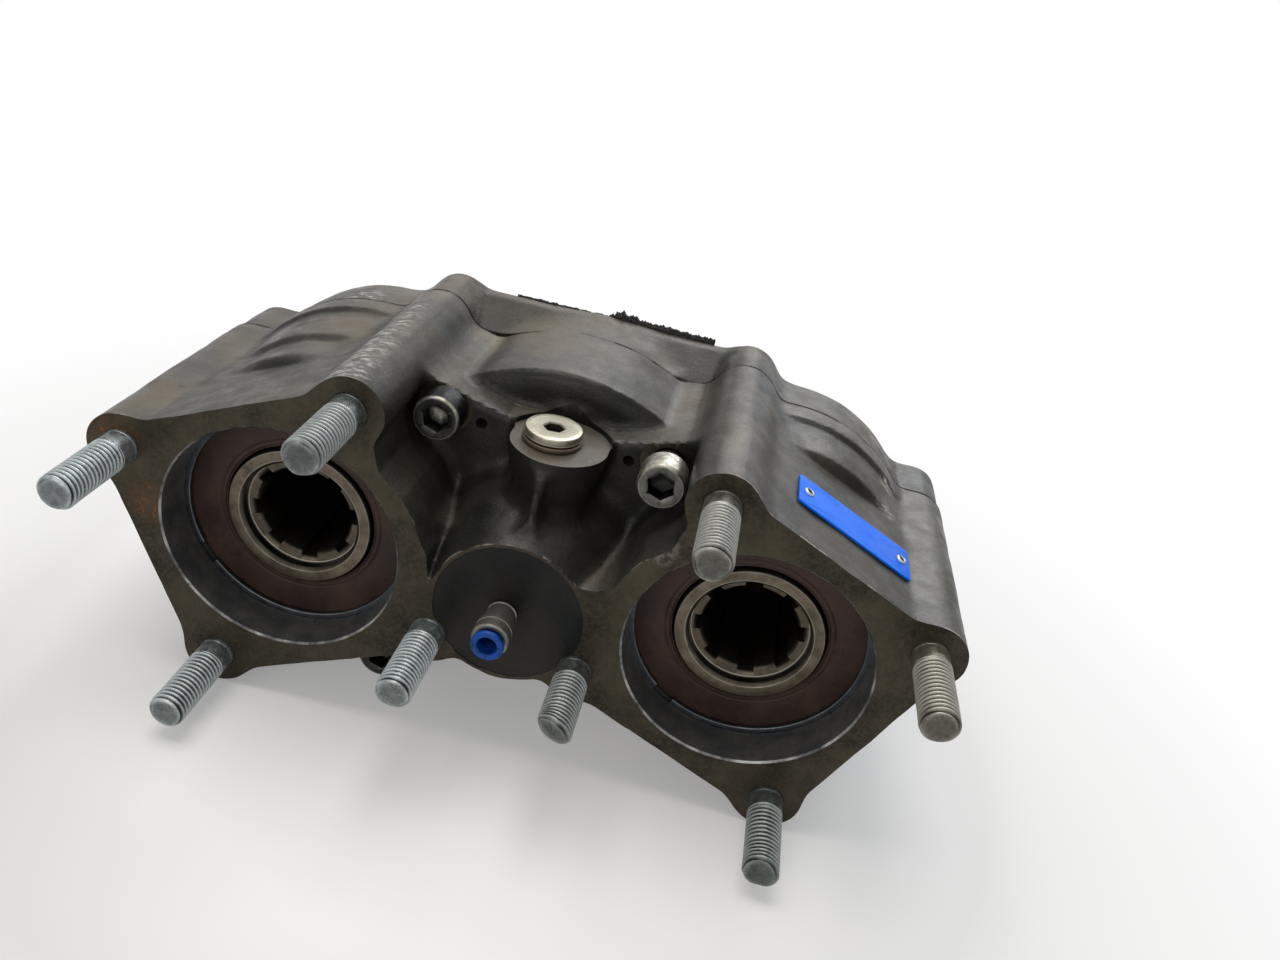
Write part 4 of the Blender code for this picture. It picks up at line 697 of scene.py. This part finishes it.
def zinc(name, tone):
    """Dull zinc plate: pale grey with white bloom, oil and painted shade in the thread, worn and rusty ends.
    """
    made, shader, place = new_finish(name, (0.34, 0.36, 0.36), 0.42, 0.75)
    bloom = level(grain(place, 3.0, 5.0, 0.65, 0.4), 0.38, 0.66)
    base = blended(bloom, tuple(0.62 * value for value in tone), tone)
    stain = level(grain(place, 6.0, 4.0, 0.7), 0.56, 0.70)
    base = blended(reckon("MULTIPLY", stain, 0.7), base, (0.07, 0.062, 0.050))
    dirt_and_shade, bare_and_lit = wear_and_light_of(shader)
    base = blended(dirt_and_shade, base, (0.016, 0.014, 0.012))
    base = blended(reckon("MULTIPLY", bare_and_lit, 0.6), base, (0.55, 0.56, 0.55))
    coated(shader, base, level(bloom, 0, 1, 0.30, 0.52))
    relief(shader, grain(place, 0.6, 4.0, 0.65), 0.06)
    return made


def ringed(name, radii, along, centre, finish, wear, axis="y", sharp=50.0):
    """Rings of points about an axis: each row has its own radii round the turn, its own depths and wear."""
    angle = whole_turn(radii.shape[1])
    along = np.broadcast_to(along, radii.shape)
    a, b = centre[0] + radii * np.cos(angle), centre[1] + radii * np.sin(angle)
    points = np.stack([a, along, b] if axis == "y" else [a, b, along], -1)
    item = mesh_object(name, points.reshape(-1, 3), woven(*radii.shape))
    painted = item.data.attributes.new("wear", "FLOAT", "POINT")
    painted.data.foreach_set("value", np.broadcast_to(wear, radii.shape).astype(np.float32).ravel())
    welded(item)
    item.data.shade_smooth()
    item.data.set_sharp_from_angle(angle=math.radians(sharp))
    item.data.materials.append(finish)
    return item


def stud(name, centre, finish, phase, slant, ragged):
    """A threaded rod: its radius less the thread's depth times a rounded triangle of (depth / pitch - turn).
    The end is moved back by slant round the turn, which leaves a chopped end, and shaken by ragged."""
    rng = np.random.default_rng(int(phase * 100) + 3)
    angle = whole_turn(48)
    along = np.concatenate([np.arange(STUD_TIP + 0.2, 1.0, PITCH / 10), [8.0, STUD_FOOT]])
    turn = (along[:, None] / PITCH - angle / (2 * np.pi) + phase) % 1.0
    ridge = np.clip((np.abs(2 * turn - 1) - 0.16) / 0.70, 0, 1)
    ridge = ridge * ridge * (3 - 2 * ridge)
    fade = (np.clip((-SHANK - along) / 1.5, 0, 1) * np.clip((along - STUD_TIP) / 1.5 + 0.2, 0, 1))[:, None]
    radius = STUD_RADIUS - THREAD_DEPTH * ridge * fade
    radius -= np.clip(TIP_CHAMFER - (along - STUD_TIP), 0, TIP_CHAMFER)[:, None] * 0.8
    radius[(along > -SHANK) & (along < -1)] -= 0.15
    # Thread roots are darkened for oil in them and painted shade; crests are brightened as worn zinc.
    wear = 0.55 - 1.5 * ridge * fade
    wear[along > -SHANK] = -0.15
    bruise = sum(rng.uniform(-1, 1) * np.cos(k * angle + rng.uniform(0, 6)) for k in (2, 3, 5))
    tip = np.clip(1 - (along - STUD_TIP) / 6.0, 0, 1)[:, None]
    wear = wear - 0.9 * tip ** 2 * (0.5 + 0.5 * np.clip(bruise, -1, 1))
    radius = radius * (1 - (0.015 + 0.09 * ragged) * tip * np.clip(bruise, -1, 1))
    cap = np.array([0.0, 0.25, 0.5, 0.75, 0.92])[:, None]
    end = cap * radius[0]
    cap_along = STUD_TIP + 0.1 + 0.45 * (1 - cap) + 0.08 * np.cos(3 * angle) * cap
    closed = np.zeros((1, len(angle)))
    radii = np.concatenate([end, radius, closed])
    depths = np.concatenate([cap_along, np.repeat(along[:, None], len(angle), 1), closed + STUD_FOOT])
    amount, direction = slant
    rim = np.array([-0.60, -0.62, -0.60, -0.55, -0.25])[:, None]
    wear = np.concatenate([rim + 0.12 * rng.uniform(-1, 1, (5, len(angle))), wear, closed])
    lean = amount * (1 - np.cos(angle - direction)) / 2 + ragged * np.clip(bruise, 0, 2)
    reach = np.minimum(radii / 5.5, 1)
    depths = depths + lean * reach * np.clip(1 - (depths - STUD_TIP) / 9.0, 0, 1)
    item = ringed(name, radii, np.maximum(depths, STUD_TIP), centre, finish, wear)
    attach(item, "housing")
    return item


PALE_ZINC = zinc("pale_zinc", (0.43, 0.49, 0.50))
DULL_ZINC = zinc("dull_zinc", (0.27, 0.26, 0.21))
WARM_ZINC = zinc("warm_zinc", (0.25, 0.25, 0.22))
DARK_ZINC = zinc("dark_zinc", (0.24, 0.27, 0.26))
GREY_ZINC = zinc("grey_zinc", (0.24, 0.27, 0.27))
PLACES = ("inner_high", "outer_high", "outer_low", "inner_low")
ZINC_OF = {("right", "outer_high"): DULL_ZINC, ("right", "inner_high"): WARM_ZINC,
           ("right", "outer_low"): DARK_ZINC, ("right", "inner_low"): DARK_ZINC,
           ("left", "inner_high"): GREY_ZINC}
HURT = {("left", "inner_low"): ((0.5, 2.0), 0.12), ("right", "inner_low"): ((6.0, 0.7), 0.5),
        ("right", "outer_low"): ((1.6, 5.6), 0.45), ("right", "inner_high"): ((0.8, 1.0), 0.25)}
for side, wing in ((1, "right"), (-1, "left")):
    for number, (corner, centre) in enumerate(zip(PLACES, stud_square(side))):
        finish = ZINC_OF.get((wing, corner), PALE_ZINC)
        slant, ragged = HURT.get((wing, corner), ((0.0, 0.0), 0.05))
        phase = 0.13 * number + 0.4 * (side > 0)
        threaded = stud("pump_stud_" + wing + "_" + corner, centre, finish, phase, slant, ragged)
        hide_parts("stud_" + wing + "_" + corner)


# Socket screws: four long black screws hold the unit to the gearbox, and six short ones hold the rear
# cover. The heads are rolled steel with a hexagon socket, their black finish worn through on the rims;
# some heads carry painted light and shade on their sides and socket floors.
def worn_steel(name, dark, bright, gloss=0.34):
    """Blackened steel with soft lighter patches, darker with grime and painted shade, brighter on worn rims
    and painted glints.
    """
    made, shader, place = new_finish(name, dark, gloss, 0.85)
    patch = level(grain(place, 5.0, 4.0, 0.6), 0.40, 0.70, 0.0, 0.22)
    base = blended(patch, dark, bright)
    dirt_and_shade, bare_and_lit = wear_and_light_of(shader)
    chips = level(grain(place, 1.6, 3.0), 0.30, 0.60, 0.35, 1.0)
    base = blended(reckon("MULTIPLY", bare_and_lit, chips), base, bright)
    base = blended(dirt_and_shade, base, (0.008, 0.008, 0.008))
    haze = level(grain(place, 3.0, 3.0), 0.3, 0.7, gloss - 0.08, gloss + 0.14)
    coated(shader, base, haze)
    relief(shader, grain(place, 0.7, 3.0), 0.04)
    return made


def hexagon(flats, lean, count=72):
    """A hexagon's radii round the turn: half the width over flats, divided by the cosine of the angle from
    the nearest flat's middle."""
    return flats / 2 / np.cos((whole_turn(count) + lean) % (np.pi / 3) - np.pi / 6)


def rings(name, rows, start, centre, finish, way=1, count=72, axis="y", sharp=32.0):
    """Rings of points from rows of (radius or radii round the turn, distance from the start, wear)."""
    radii = np.stack([np.broadcast_to(radius, (count,)) for radius, _, _ in rows]).astype(float)
    along = start + way * np.array([[distance] for _, distance, _ in rows])
    wear = np.array([[value] for _, _, value in rows])
    return ringed(name, radii, along, centre, finish, wear, axis, sharp)


def socket_head(name, centre, seat, head, height, shank, length, key, way, rubbed):
    """A cap screw as rings: the shank, the head's side, its rounded rim, the hexagon's wall and its floor."""
    hollow = hexagon(key, 0.35)
    rim = key / math.sqrt(3) + 0.5
    side_wear_and_light, face_wear, floor_wear_and_light = rubbed
    rows = [(0, length, 0), (shank, length, 0), (shank, 0.0, -0.5), (head - 0.4, 0.0, -0.6),
            (head, -0.5, side_wear_and_light), (head, -height + 1.3, side_wear_and_light), (head - 0.35, -height + 0.40, 0.9),
            (head - 0.8, -height, 0.7), (head - 1.3, -height, face_wear), (rim, -height, face_wear),
            (hollow * 1.03, -height + 0.4, face_wear), (hollow, -height + 1.2, -0.8),
            (hollow, -0.42 * height, -1), (hollow * 0.4, -0.36 * height, floor_wear_and_light),
            (0, -0.34 * height, floor_wear_and_light)]
    return rings(name, rows, seat, centre, BLACK_STEEL, way)


BLACK_STEEL = worn_steel("blackened_steel", (0.050, 0.050, 0.046), (0.34, 0.33, 0.28))
# head radius, head height, shank radius, length, hexagon over flats, and which way along y the screw points
SCREWS = {"mounting_screw_": (8.0, 10.0, 5.0, 95.0, 8.0, 1), "cover_screw_": (6.5, 8.0, 4.0, 30.0, 6.0, -1)}
# worn state of the head's side, its face and the hexagon's floor, with painted light: on the left head
# the black side is painted shade and the bright floor a painted glint; on the right head the bright side
# is partly a painted highlight and the dark floor painted shade
HEAD_WEAR_AND_LIGHT = {"right": (1.0, 0.1, -0.9), "left": (-1.0, -0.6, 0.9)}
for kind, (head, height, shank, length, key, way) in SCREWS.items():
    for name in [node for node in frame["nodes"] if node.startswith(kind)]:
        low, high = unit_box(name)
        centre = (low[0] + high[0]) / 2, (low[2] + high[2]) / 2
        seat = low[1] + height if way > 0 else high[1] - height
        rubbed = HEAD_WEAR_AND_LIGHT.get(name.split("_")[-1], (0.0, 0.0, 0.0))
        screw = socket_head(name + "_worn", centre, seat, head, height, shank, length, key, way, rubbed)
        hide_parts(name)
        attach(screw, "housing")


# Port plug: a plated hexagon-socket plug on a copper washer. It is turned from bar, its plating is
# rubbed pale, and oil sits in the hexagon and round the washer.
def plated(name, colour, edge, roughness):
    """Dull plate with brown stains, grime in hollows, and brighter edges, partly worn and partly painted
    glints.
    """
    made, shader, place = new_finish(name, colour, roughness, 0.7)
    stain = level(grain(place, 3.5, 5.0, 0.65), 0.36, 0.66)
    base = blended(stain, colour, tuple(0.62 * value for value in colour))
    dirt_and_shade, bare_and_lit = wear_and_light_of(shader)
    base = blended(bare_and_lit, base, edge)
    base = blended(dirt_and_shade, base, (0.020, 0.016, 0.012))
    coated(shader, base, level(stain, 0, 1, roughness - 0.06, roughness + 0.12))
    relief(shader, grain(place, 0.8, 3.0), 0.03)
    return made


hollow = hexagon(6.0, 0.9)
PLUG_TOP = unit_box("port_plug")[1][2]
# The collar's lower rim is painted bright as a glint, and its side is darker.
rows = [(0, -15.0, 0), (6.9, -15.0, 0), (6.9, -3.0, -0.5), (9.0, -3.0, -0.8), (9.4, -2.6, 0.8),
        (9.4, -2.1, -0.5), (9.4, -0.75, -0.5), (9.15, -0.2, 0.5), (8.7, 0.0, 0.2), (7.6, 0.0, 0.0),
        (5.0, -0.05, -0.2), (hollow * 1.14, -0.1, -0.3), (hollow, -0.6, -0.8), (hollow, -4.5, -1),
        (0, -5.5, -0.9)]
plate = plated("plug_plate", (0.52, 0.48, 0.38), (0.66, 0.62, 0.55), 0.34)
plug = rings("port_plug_worn", rows, PLUG_TOP, PORT_AT, plate, axis="z")
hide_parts("port_plug")
bottom, top = unit_box("plug_washer")[0][2], unit_box("plug_washer")[1][2]
rows = [(7.3, bottom), (9.6, bottom), (9.9, bottom + 0.3), (9.9, top - 0.3), (9.6, top), (7.3, top)]
washer = lathe("plug_washer_worn", rows, PORT_AT, axis="z", sides=72)
washer.data.materials.append(plated("washer_copper", (0.13, 0.095, 0.07), (0.3, 0.25, 0.2), 0.45))
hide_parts("plug_washer")
for item in (plug, washer):
    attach(item, "housing")


# Air fitting: a straight push-in fitting in the end of the actuator, of nickel-plated brass, with a
# blue release collet of moulded plastic that is pressed in to free the air line.
low, high = unit_box("air_fitting")
FITTING_AT = ((low[0] + high[0]) / 2, DROP)
END = low[1]
rows = [(3.2, 6.0), (4.3, 6.0), (4.3, -0.35), (5.0, -0.35), (5.0, -0.9), (4.7, -1.2), (4.7, -2.0),
        (5.0, -2.3), (5.0, -7.9), (5.3, -8.3), (6.0, -8.6), (6.1, -9.0), (6.1, -10.6), (5.9, -10.8),
        (5.9, -11.3), (6.1, -11.5), (6.1, END + 0.7), (5.7, END + 0.15), (5.2, END), (4.6, END),
        (4.5, END + 0.3), (4.5, -9.3), (3.2, -9.3)]
fitting = lathe("air_fitting_worn", rows, FITTING_AT, sides=64)
fitting.data.materials.append(plated("nickel_plate", (0.20, 0.19, 0.165), (0.5, 0.5, 0.48), 0.36))
fitting.data.set_sharp_from_angle(angle=math.radians(32))
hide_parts("air_fitting")
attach(fitting, "housing")
TIP = unit_box("fitting_collet")[0][1]
rows = [(3.2, END + 4.0), (3.9, END + 4.0), (3.9, TIP + 1.5), (5.0, TIP + 1.5), (5.3, TIP + 1.2),
        (5.3, TIP + 0.5), (5.05, TIP + 0.1), (4.7, TIP), (3.6, TIP), (3.25, TIP + 0.3), (3.2, TIP + 0.7)]
collet = lathe("release_collet", rows, FITTING_AT, sides=64)
made, shader, place = new_finish("collet_plastic", (0.004, 0.070, 0.36), 0.36, Specular_IOR_Level=0.2)
scuff = level(grain(place, 2.0, 5.0, 0.7), 0.50, 0.66)
base = blended(scuff, (0.004, 0.070, 0.36), (0.004, 0.020, 0.08))
feed(shader, "Base Color", base)
relief(shader, grain(place, 0.8, 3.0), 0.04)
collet.data.materials.append(made)
collet.data.set_sharp_from_angle(angle=math.radians(32))
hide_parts("fitting_collet")
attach(collet, "collet")


# Shaft seals: moulded brown rubber rings with a steel core and a sprung lip on the shaft. They are
# pressed into the pilot bores and held there by spring-steel rings that leave one notch open.
def seal_rubber():
    """Red-brown fluoro rubber, dull, with a film of dust and oil."""
    made, shader, place = new_finish("seal_rubber_worn", (0.050, 0.025, 0.022), 0.5,
                                     Specular_IOR_Level=0.2)
    dust = level(grain(place, 14.0, 4.0, 0.6), 0.36, 0.66)
    base = blended(dust, (0.034, 0.020, 0.016), (0.062, 0.037, 0.029))
    smear = level(grain(place, 4.0, 5.0, 0.7), 0.60, 0.74)
    base = blended(smear, base, (0.010, 0.007, 0.006))
    coated(shader, base, level(dust, 0, 1, 0.42, 0.62))
    relief(shader, grain(place, 1.2, 3.0), 0.04)
    return made


RUBBER = seal_rubber()
RING_STEEL = worn_steel("ring_steel", (0.070, 0.078, 0.086), (0.26, 0.27, 0.28), 0.40)
SEAL_FACE = unit_box("shaft_seal_right")[0][1]
RING_FACE = unit_box("seal_ring_right")[0][1]
NOTCHES = {"right": 235.0, "left": 216.0}
section = [(39.6, 8.0), (39.6, 0.6), (39.2, 0.1), (38.3, 0), (28.6, 0), (28.2, 0.35), (27.8, 0.05),
           (26.8, 0.1), (26.4, 0.6), (25.9, 0.3), (25.4, 3.0), (25.9, 4.2), (25.9, 8.0)]
wire = np.array([(41.2, 1.5), (41.2, 0.0), (38.6, 0.0), (38.3, 0.25), (38.3, 1.25), (38.6, 1.5)])
for side, wing in ((1, "right"), (-1, "left")):
    rows = [(radius, SEAL_FACE + depth) for radius, depth in section]
    seal = lathe("shaft_seal_worn_" + wing, rows, (side * SPREAD, 0), sides=160)
    seal.data.set_sharp_from_angle(angle=math.radians(40))
    seal.data.materials.append(RUBBER)
    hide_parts("shaft_seal_" + wing)
    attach(seal, "housing")

    turn = np.radians(np.linspace(NOTCHES[wing] + 6, NOTCHES[wing] + 354, 180))[:, None]
    a, b = side * SPREAD + wire[:, 0] * np.cos(turn), wire[:, 0] * np.sin(turn)
    points = np.stack([a, RING_FACE + wire[:, 1] + 0 * turn, b], -1).reshape(-1, 3)
    last = len(points) - 6
    ends = [(0, 1, 2, 5), (2, 3, 4, 5), (last + 5, last + 2, last + 1, last),
            (last + 5, last + 4, last + 3, last + 2)]
    ring = mesh_object("seal_ring_worn_" + wing, points, np.concatenate([woven(len(turn), 6), ends]))
    welded(ring)
    ring.data.materials.append(RING_STEEL)
    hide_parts("seal_ring_" + wing)
    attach(ring, "housing")


# Output gears: each is one steel forging, a 24-tooth gear on a hollow shaft with an eight-slot spline
# for the pump's shaft. Teeth and spline are cut and ground, and the mouth is chamfered bright. The bore
# and its chamfer are painted dark as shade, and a thin ledge in the mouth is painted bright as a highlight.
MODULE, TEETH, DRIVE_TEETH = 3.0, 24, 28


def tooth_radius(angle, teeth, thin):
    """Radius of an involute gear at each angle. A tooth's half angle at radius r is a quarter of its pitch
    angle less the backlash share plus inv(pitch) - inv(r), and the radius is that relation read backwards."""
    pitch = MODULE * teeth / 2
    base = pitch * math.cos(math.radians(20))
    radii = np.linspace(pitch + MODULE, pitch - 1.25 * MODULE, 40)
    roll = np.arccos(np.minimum(1, base / radii))
    roll = np.tan(roll) - roll
    at_pitch = math.tan(math.radians(20)) - math.radians(20)
    half = math.pi / teeth / 2 - thin / 4 / pitch + at_pitch - roll
    step = 2 * np.pi / teeth
    away = np.abs((angle + step / 2) % step - step / 2)
    return np.interp(away, np.maximum.accumulate(half + 1e-6 * np.arange(40)), radii)


def spline_radius(angle, low, high, slots, width, turn):
    """The high radius inside the slots and the low one between them."""
    step = 2 * np.pi / slots
    away = np.abs((angle - turn + step / 2) % step - step / 2)
    return np.where(high * np.sin(away) < width / 2, high, low)


def ground_steel():
    """Oily tan steel: bright on worn edges and painted highlights, black with painted shade inside."""
    made, shader, place = new_finish("ground_steel", (0.17, 0.14, 0.105), 0.34, 0.8)
    film = level(grain(place, 5.0, 5.0, 0.65), 0.36, 0.66)
    base = blended(film, (0.15, 0.124, 0.092), (0.075, 0.060, 0.043))
    dirt_and_shade, bare_and_lit = wear_and_light_of(shader)
    base = blended(bare_and_lit, base, (0.50, 0.48, 0.43))
    base = blended(dirt_and_shade, base, (0.014, 0.012, 0.010))
    coated(shader, base, level(film, 0, 1, 0.28, 0.46))
    relief(shader, grain(place, 0.8, 3.0), 0.03)
    return made


GROUND = ground_steel()
lean = math.atan2(-DROP, SPREAD)
past = ((math.pi - 2 * lean) / (2 * math.pi / DRIVE_TEETH)) % 1.0
TURNS = {1: lean + math.pi - math.pi / TEETH,
         -1: -lean + 2 * math.pi + past * 2 * math.pi / TEETH - math.pi / TEETH}
for side, wing in ((1, "right"), (-1, "left")):
    mouth, end = (corner[1] for corner in unit_box("output_gear_" + wing))
    angle = whole_turn(480)
    gear = tooth_radius(angle - TURNS[side], TEETH, 0.7)
    slots = spline_radius(angle, 16.0, 18.0, 8, 6.0, math.radians(9))
    # Painted shade darkens the bore and the mouth's chamfer; a painted highlight brightens the thin ledge at
    # radius 19.8.
    rows = [(0, 70.0, -1), (slots, 70.0, -1), (slots, 30.0, -0.85), (slots, 21.4, -0.40),
            (slots + 0.15, mouth + 5.2, -0.5), (slots + 0.9, mouth + 4.5, -0.35), (19.5, mouth + 4.3, -0.2),
            (19.8, mouth + 4.2, 1.0), (20.0, mouth + 3.9, 0.6), (20.0, mouth + 3.3, -0.9),
            (20.1, mouth + 1.2, -0.8), (21.0, mouth + 0.15, -0.3), (21.2, mouth, 0.35), (21.6, mouth, 0.0),
            (24.3, mouth, 0.0), (24.7, mouth + 0.1, 0.2), (25.0, mouth + 0.5, -0.2),
            (25.0, mouth + 3.0, -0.6), (25.0, 42.6, -0.3), (29.0, 42.6, -0.3), (29.0, 54.0, -0.3),
            (gear - 0.4, 54.0, 0), (gear, 54.4, 0), (gear, 79.6, 0), (gear - 0.4, 80.0, 0),
            (29.0, 80.0, -0.3), (29.0, 88.0, -0.3), (25.0, 88.0, -0.3), (25.0, end - 0.5, 0), (24.5, end, 0),
            (0, end, 0)]
    shaft = rings("output_gear_ground_" + wing, rows, 0, (side * SPREAD, 0), GROUND, count=480, sharp=34.0)
    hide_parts("output_gear_" + wing)
    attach(shaft, "output_shaft_" + wing)


# Name plate: a thin blue anodised aluminium plate with nothing on it, held to the right wing's upper
# wall by two hollow rivets, whose centres are painted dark as shade.
def wing_place(u, w, depth):
    """Points of the right wing's own axes as points of the unit's frame."""
    a, b = turned_back(np.asarray(u, float), np.asarray(w, float))
    return np.stack(np.broadcast_arrays(SPREAD + a, depth, b), -1)


PLATE_AT, PLATE_DEPTH = 4.3, 29.2
angle = whole_turn(64)
round_u = np.sign(np.cos(angle)) * 21.5 + 1.2 * np.cos(angle)
round_y = np.sign(np.sin(angle)) * 7.8 + 1.2 * np.sin(angle)
plate_rows = [(0.0, 47.35), (1.0, 47.35), (1.0, 47.95), (0.992, 48.05), (0.0, 48.05)]
points = [wing_place(PLATE_AT + share * round_u, 0 * angle + rise, PLATE_DEPTH + share * round_y)
          for share, rise in plate_rows]
plate = mesh_object("blank_name_plate", np.concatenate(points), woven(len(plate_rows), len(angle)))
welded(plate)
plate.data.set_sharp_from_angle(angle=math.radians(40))
made, shader, place = new_finish("blue_anodised", (0.006, 0.075, 0.62), 0.42, Specular_IOR_Level=0.08)
scuff = level(grain(place, 3.0, 6.0, 0.7), 0.58, 0.72)
base = blended(scuff, (0.002, 0.155, 0.92), (0.006, 0.100, 0.60))
coated(shader, base, level(grain(place, 8.0, 4.0), 0.35, 0.65, 0.28, 0.45))
plate.data.materials.append(made)
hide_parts("name_plate")
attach(plate, "housing")
# The rivets' centres are painted dark as the shade in their holes.
rivet_rows = [(0.0, 0.0, -1), (1.0, 0.0, -1), (1.05, 0.5, -0.3), (1.35, 0.75, 0.8), (1.75, 0.5, 0.8),
              (1.95, 0.1, 0.3), (1.95, 0.0, -0.5), (0.0, -0.4, 0)]
RIVET_GAP = 19.0
for way, label in ((-1, "inner"), (1, "outer")):
    turn = whole_turn(32)
    middle = PLATE_AT + way * RIVET_GAP
    points = [wing_place(middle + radius * np.cos(turn), 48.1 + rise + 0 * turn,
                         PLATE_DEPTH + radius * np.sin(turn)) for radius, rise, _ in rivet_rows]
    rivet = mesh_object("hollow_rivet_" + label, np.concatenate(points), woven(len(rivet_rows), len(turn)))
    painted = rivet.data.attributes.new("wear", "FLOAT", "POINT")
    painted.data.foreach_set("value", np.repeat([row[2] for row in rivet_rows], 32).astype(np.float32))
    welded(rivet)
    rivet.data.materials.append(PALE_ZINC)
    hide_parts("plate_rivet_" + label)
    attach(rivet, "housing")


# Ball bearings: two shielded bearings carry each shaft. An outer ring with its pressed shields sits in
# the casting and an inner ring on the shaft, both of ground bearing steel.
BEARING = worn_steel("bearing_steel_ground", (0.30, 0.30, 0.30), (0.50, 0.50, 0.49), 0.26)
SHIELD = worn_steel("shield_steel", (0.16, 0.16, 0.155), (0.34, 0.34, 0.33), 0.36)
BODY_OF = {empty.name: body for body, empty in frame["bodies"].items()}
for wing, centre, outside in (("right", (SPREAD, 0), 39.7), ("left", (-SPREAD, 0), 39.7),
                              ("drive", DRIVE_AXIS, 35.7)):
    for row in ("front", "rear"):
        name = wing + "_" + row + "_bearing_"
        start, end = (corner[1] for corner in unit_box(name + "outer_ring"))
        shield = outside - 3.0
        groove = 25.0 + 0.30 * (outside + 0.3 - 25.0)
        lip = groove + 0.6
        outer = [(outside, end - 0.8), (outside, start + 0.8), (outside - 0.8, start), (shield, start),
                 (shield, start + 0.5), (lip, start + 0.8), (lip, end - 0.8), (shield, end - 0.5),
                 (shield, end), (outside - 0.8, end)]
        inner = [(groove, end - 0.4), (groove, start + 0.4), (groove - 0.4, start), (25.9, start),
                 (25.35, start + 0.6), (25.35, end - 0.6), (25.9, end), (groove - 0.4, end)]
        for kind, profile, finish in (("outer_ring", outer, SHIELD), ("inner_ring", inner, BEARING)):
            ring = lathe(name + kind + "_turned", profile, centre, sides=96)
            ring.data.set_sharp_from_angle(angle=math.radians(30))
            ring.data.materials.append(finish)
            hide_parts(name + kind)
            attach(ring, BODY_OF[bpy.data.objects[name + kind].parent.name])


# Pieces inside: the driving gear, the engagement sleeve, and the air piston with its seal, guide and
# spring. They are steel and rubber that no opening shows well, so their plain solid shapes stay.
SPRING = worn_steel("spring_steel_drawn", (0.14, 0.14, 0.15), (0.30, 0.30, 0.31), 0.30)
made, shader, place = new_finish("black_rubber_moulded", (0.018, 0.018, 0.018), 0.55)
relief(shader, grain(place, 0.8, 3.0), 0.05)
INSIDE = {"drive_gear": GROUND, "engagement_sleeve": GROUND, "piston": GROUND, "rod_guide": GROUND,
          "piston_seal": made, "return_spring": SPRING}
for name, finish in INSIDE.items():
    mesh = bpy.data.objects[name].data
    mesh.materials.clear()
    mesh.materials.append(finish)


# Stage: a plain pale floor under a white sky, which the object sees as a dim one. A window behind to the
# right and a ceiling lamp light it, a small back light edges the wings, and a weak fill stands in front.
CAMERA_AT = (0.0459, -0.3191, 0.2651)
LOOKING = np.array((-0.045, 0.879, -0.475))
CAMERA_UP = np.array((-0.248, 0.451, 0.857))
LENS = 29.48


def facing(forward, up, at):
    """The matrix of a camera or lamp that looks along forward."""
    forward = forward / np.linalg.norm(forward)
    right = np.cross(forward, up)
    right /= np.linalg.norm(right)
    up = np.cross(right, forward)
    turn = np.eye(4)
    turn[:3, 0], turn[:3, 1], turn[:3, 2], turn[:3, 3] = right, up, -forward, at
    return Matrix(turn.tolist())


def soft_lamp(name, at, aim, size, power, colour):
    """A rectangular area lamp that faces the aim."""
    lamp = bpy.data.lights.new(name, "AREA")
    lamp.shape = "RECTANGLE"
    lamp.size, lamp.size_y = size
    lamp.energy = power
    lamp.color = colour
    item = bpy.data.objects.new(name, lamp)
    bpy.context.scene.collection.objects.link(item)
    at, aim = np.array(at, float), np.array(aim, float)
    item.matrix_world = facing(aim - at, np.array((0.0, 1.0, 0.1)), at)


def white_to_sight(owner):
    """1 for rays that the camera, a mirror or glass sends, and 0 for the light on the object."""
    path = add(owner, "LightPath").outputs
    return reckon("MAXIMUM", reckon("MAXIMUM", path["Is Camera Ray"], path["Is Glossy Ray"]),
                  path["Is Transmission Ray"])


FLOOR_Z = -AXIS_Z / MM - 0.5
corners = [(-3000, -3000, FLOOR_Z), (3000, -3000, FLOOR_Z), (3000, 3000, FLOOR_Z), (-3000, 3000, FLOOR_Z)]
floor = mesh_object("floor", corners, [(0, 1, 2, 3)], smooth=False)
paper, shader, place = new_finish("pale_floor", (0.80, 0.80, 0.80), 0.9, Specular_IOR_Level=0.0)
seen = white_to_sight(place)
away = add(place, "VectorMath", [(0, place)], operation="LENGTH").outputs["Value"]
far = reckon("MULTIPLY", seen, level(away, 0.13, 0.34))
feed(shader, "Base Color", blended(far, (0.80, 0.80, 0.80), (0, 0, 0)))
shader.inputs["Emission Color"].default_value = (1, 1, 1, 1)
glow = reckon("MAXIMUM", reckon("MULTIPLY", seen, 0.25), far)
feed(shader, "Emission Strength", glow)
floor.data.materials.append(paper)

world = bpy.data.worlds.new("studio")
bpy.context.scene.world = world
world.use_nodes = True
back = world.node_tree.nodes["Background"]
feed(back, "Strength", level(white_to_sight(back), 0, 1, 0.25, 1.0))
back.inputs["Color"].default_value = (1, 1, 1, 1)

soft_lamp("window", (0.22, 0.75, 0.80), (0, 0, 0.06), (0.7, 0.5), 5.2, (0.92, 0.96, 1.0))
soft_lamp("ceiling", (-0.20, 0.10, 1.2), (0, 0, 0.06), (0.8, 0.8), 8.0, (1.0, 0.96, 0.90))
soft_lamp("back_sky", (0.55, 0.90, 0.42), (0, 0, 0.08), (0.35, 0.5), 0.5, (0.70, 0.87, 1.0))
soft_lamp("front_fill", (-0.30, -1.15, 0.5), (0, 0, 0.05), (0.7, 0.7), 3.3, (1.0, 0.95, 0.9))

camera = bpy.data.cameras.new("camera")
camera.lens = LENS
camera.sensor_width = 36.0
camera.clip_start = 0.01
camera_object = bpy.data.objects.new("camera", camera)
bpy.context.scene.collection.objects.link(camera_object)
camera_object.matrix_world = facing(LOOKING, CAMERA_UP, CAMERA_AT)
bpy.context.scene.camera = camera_object
bpy.context.scene.view_settings.view_transform = "Standard"
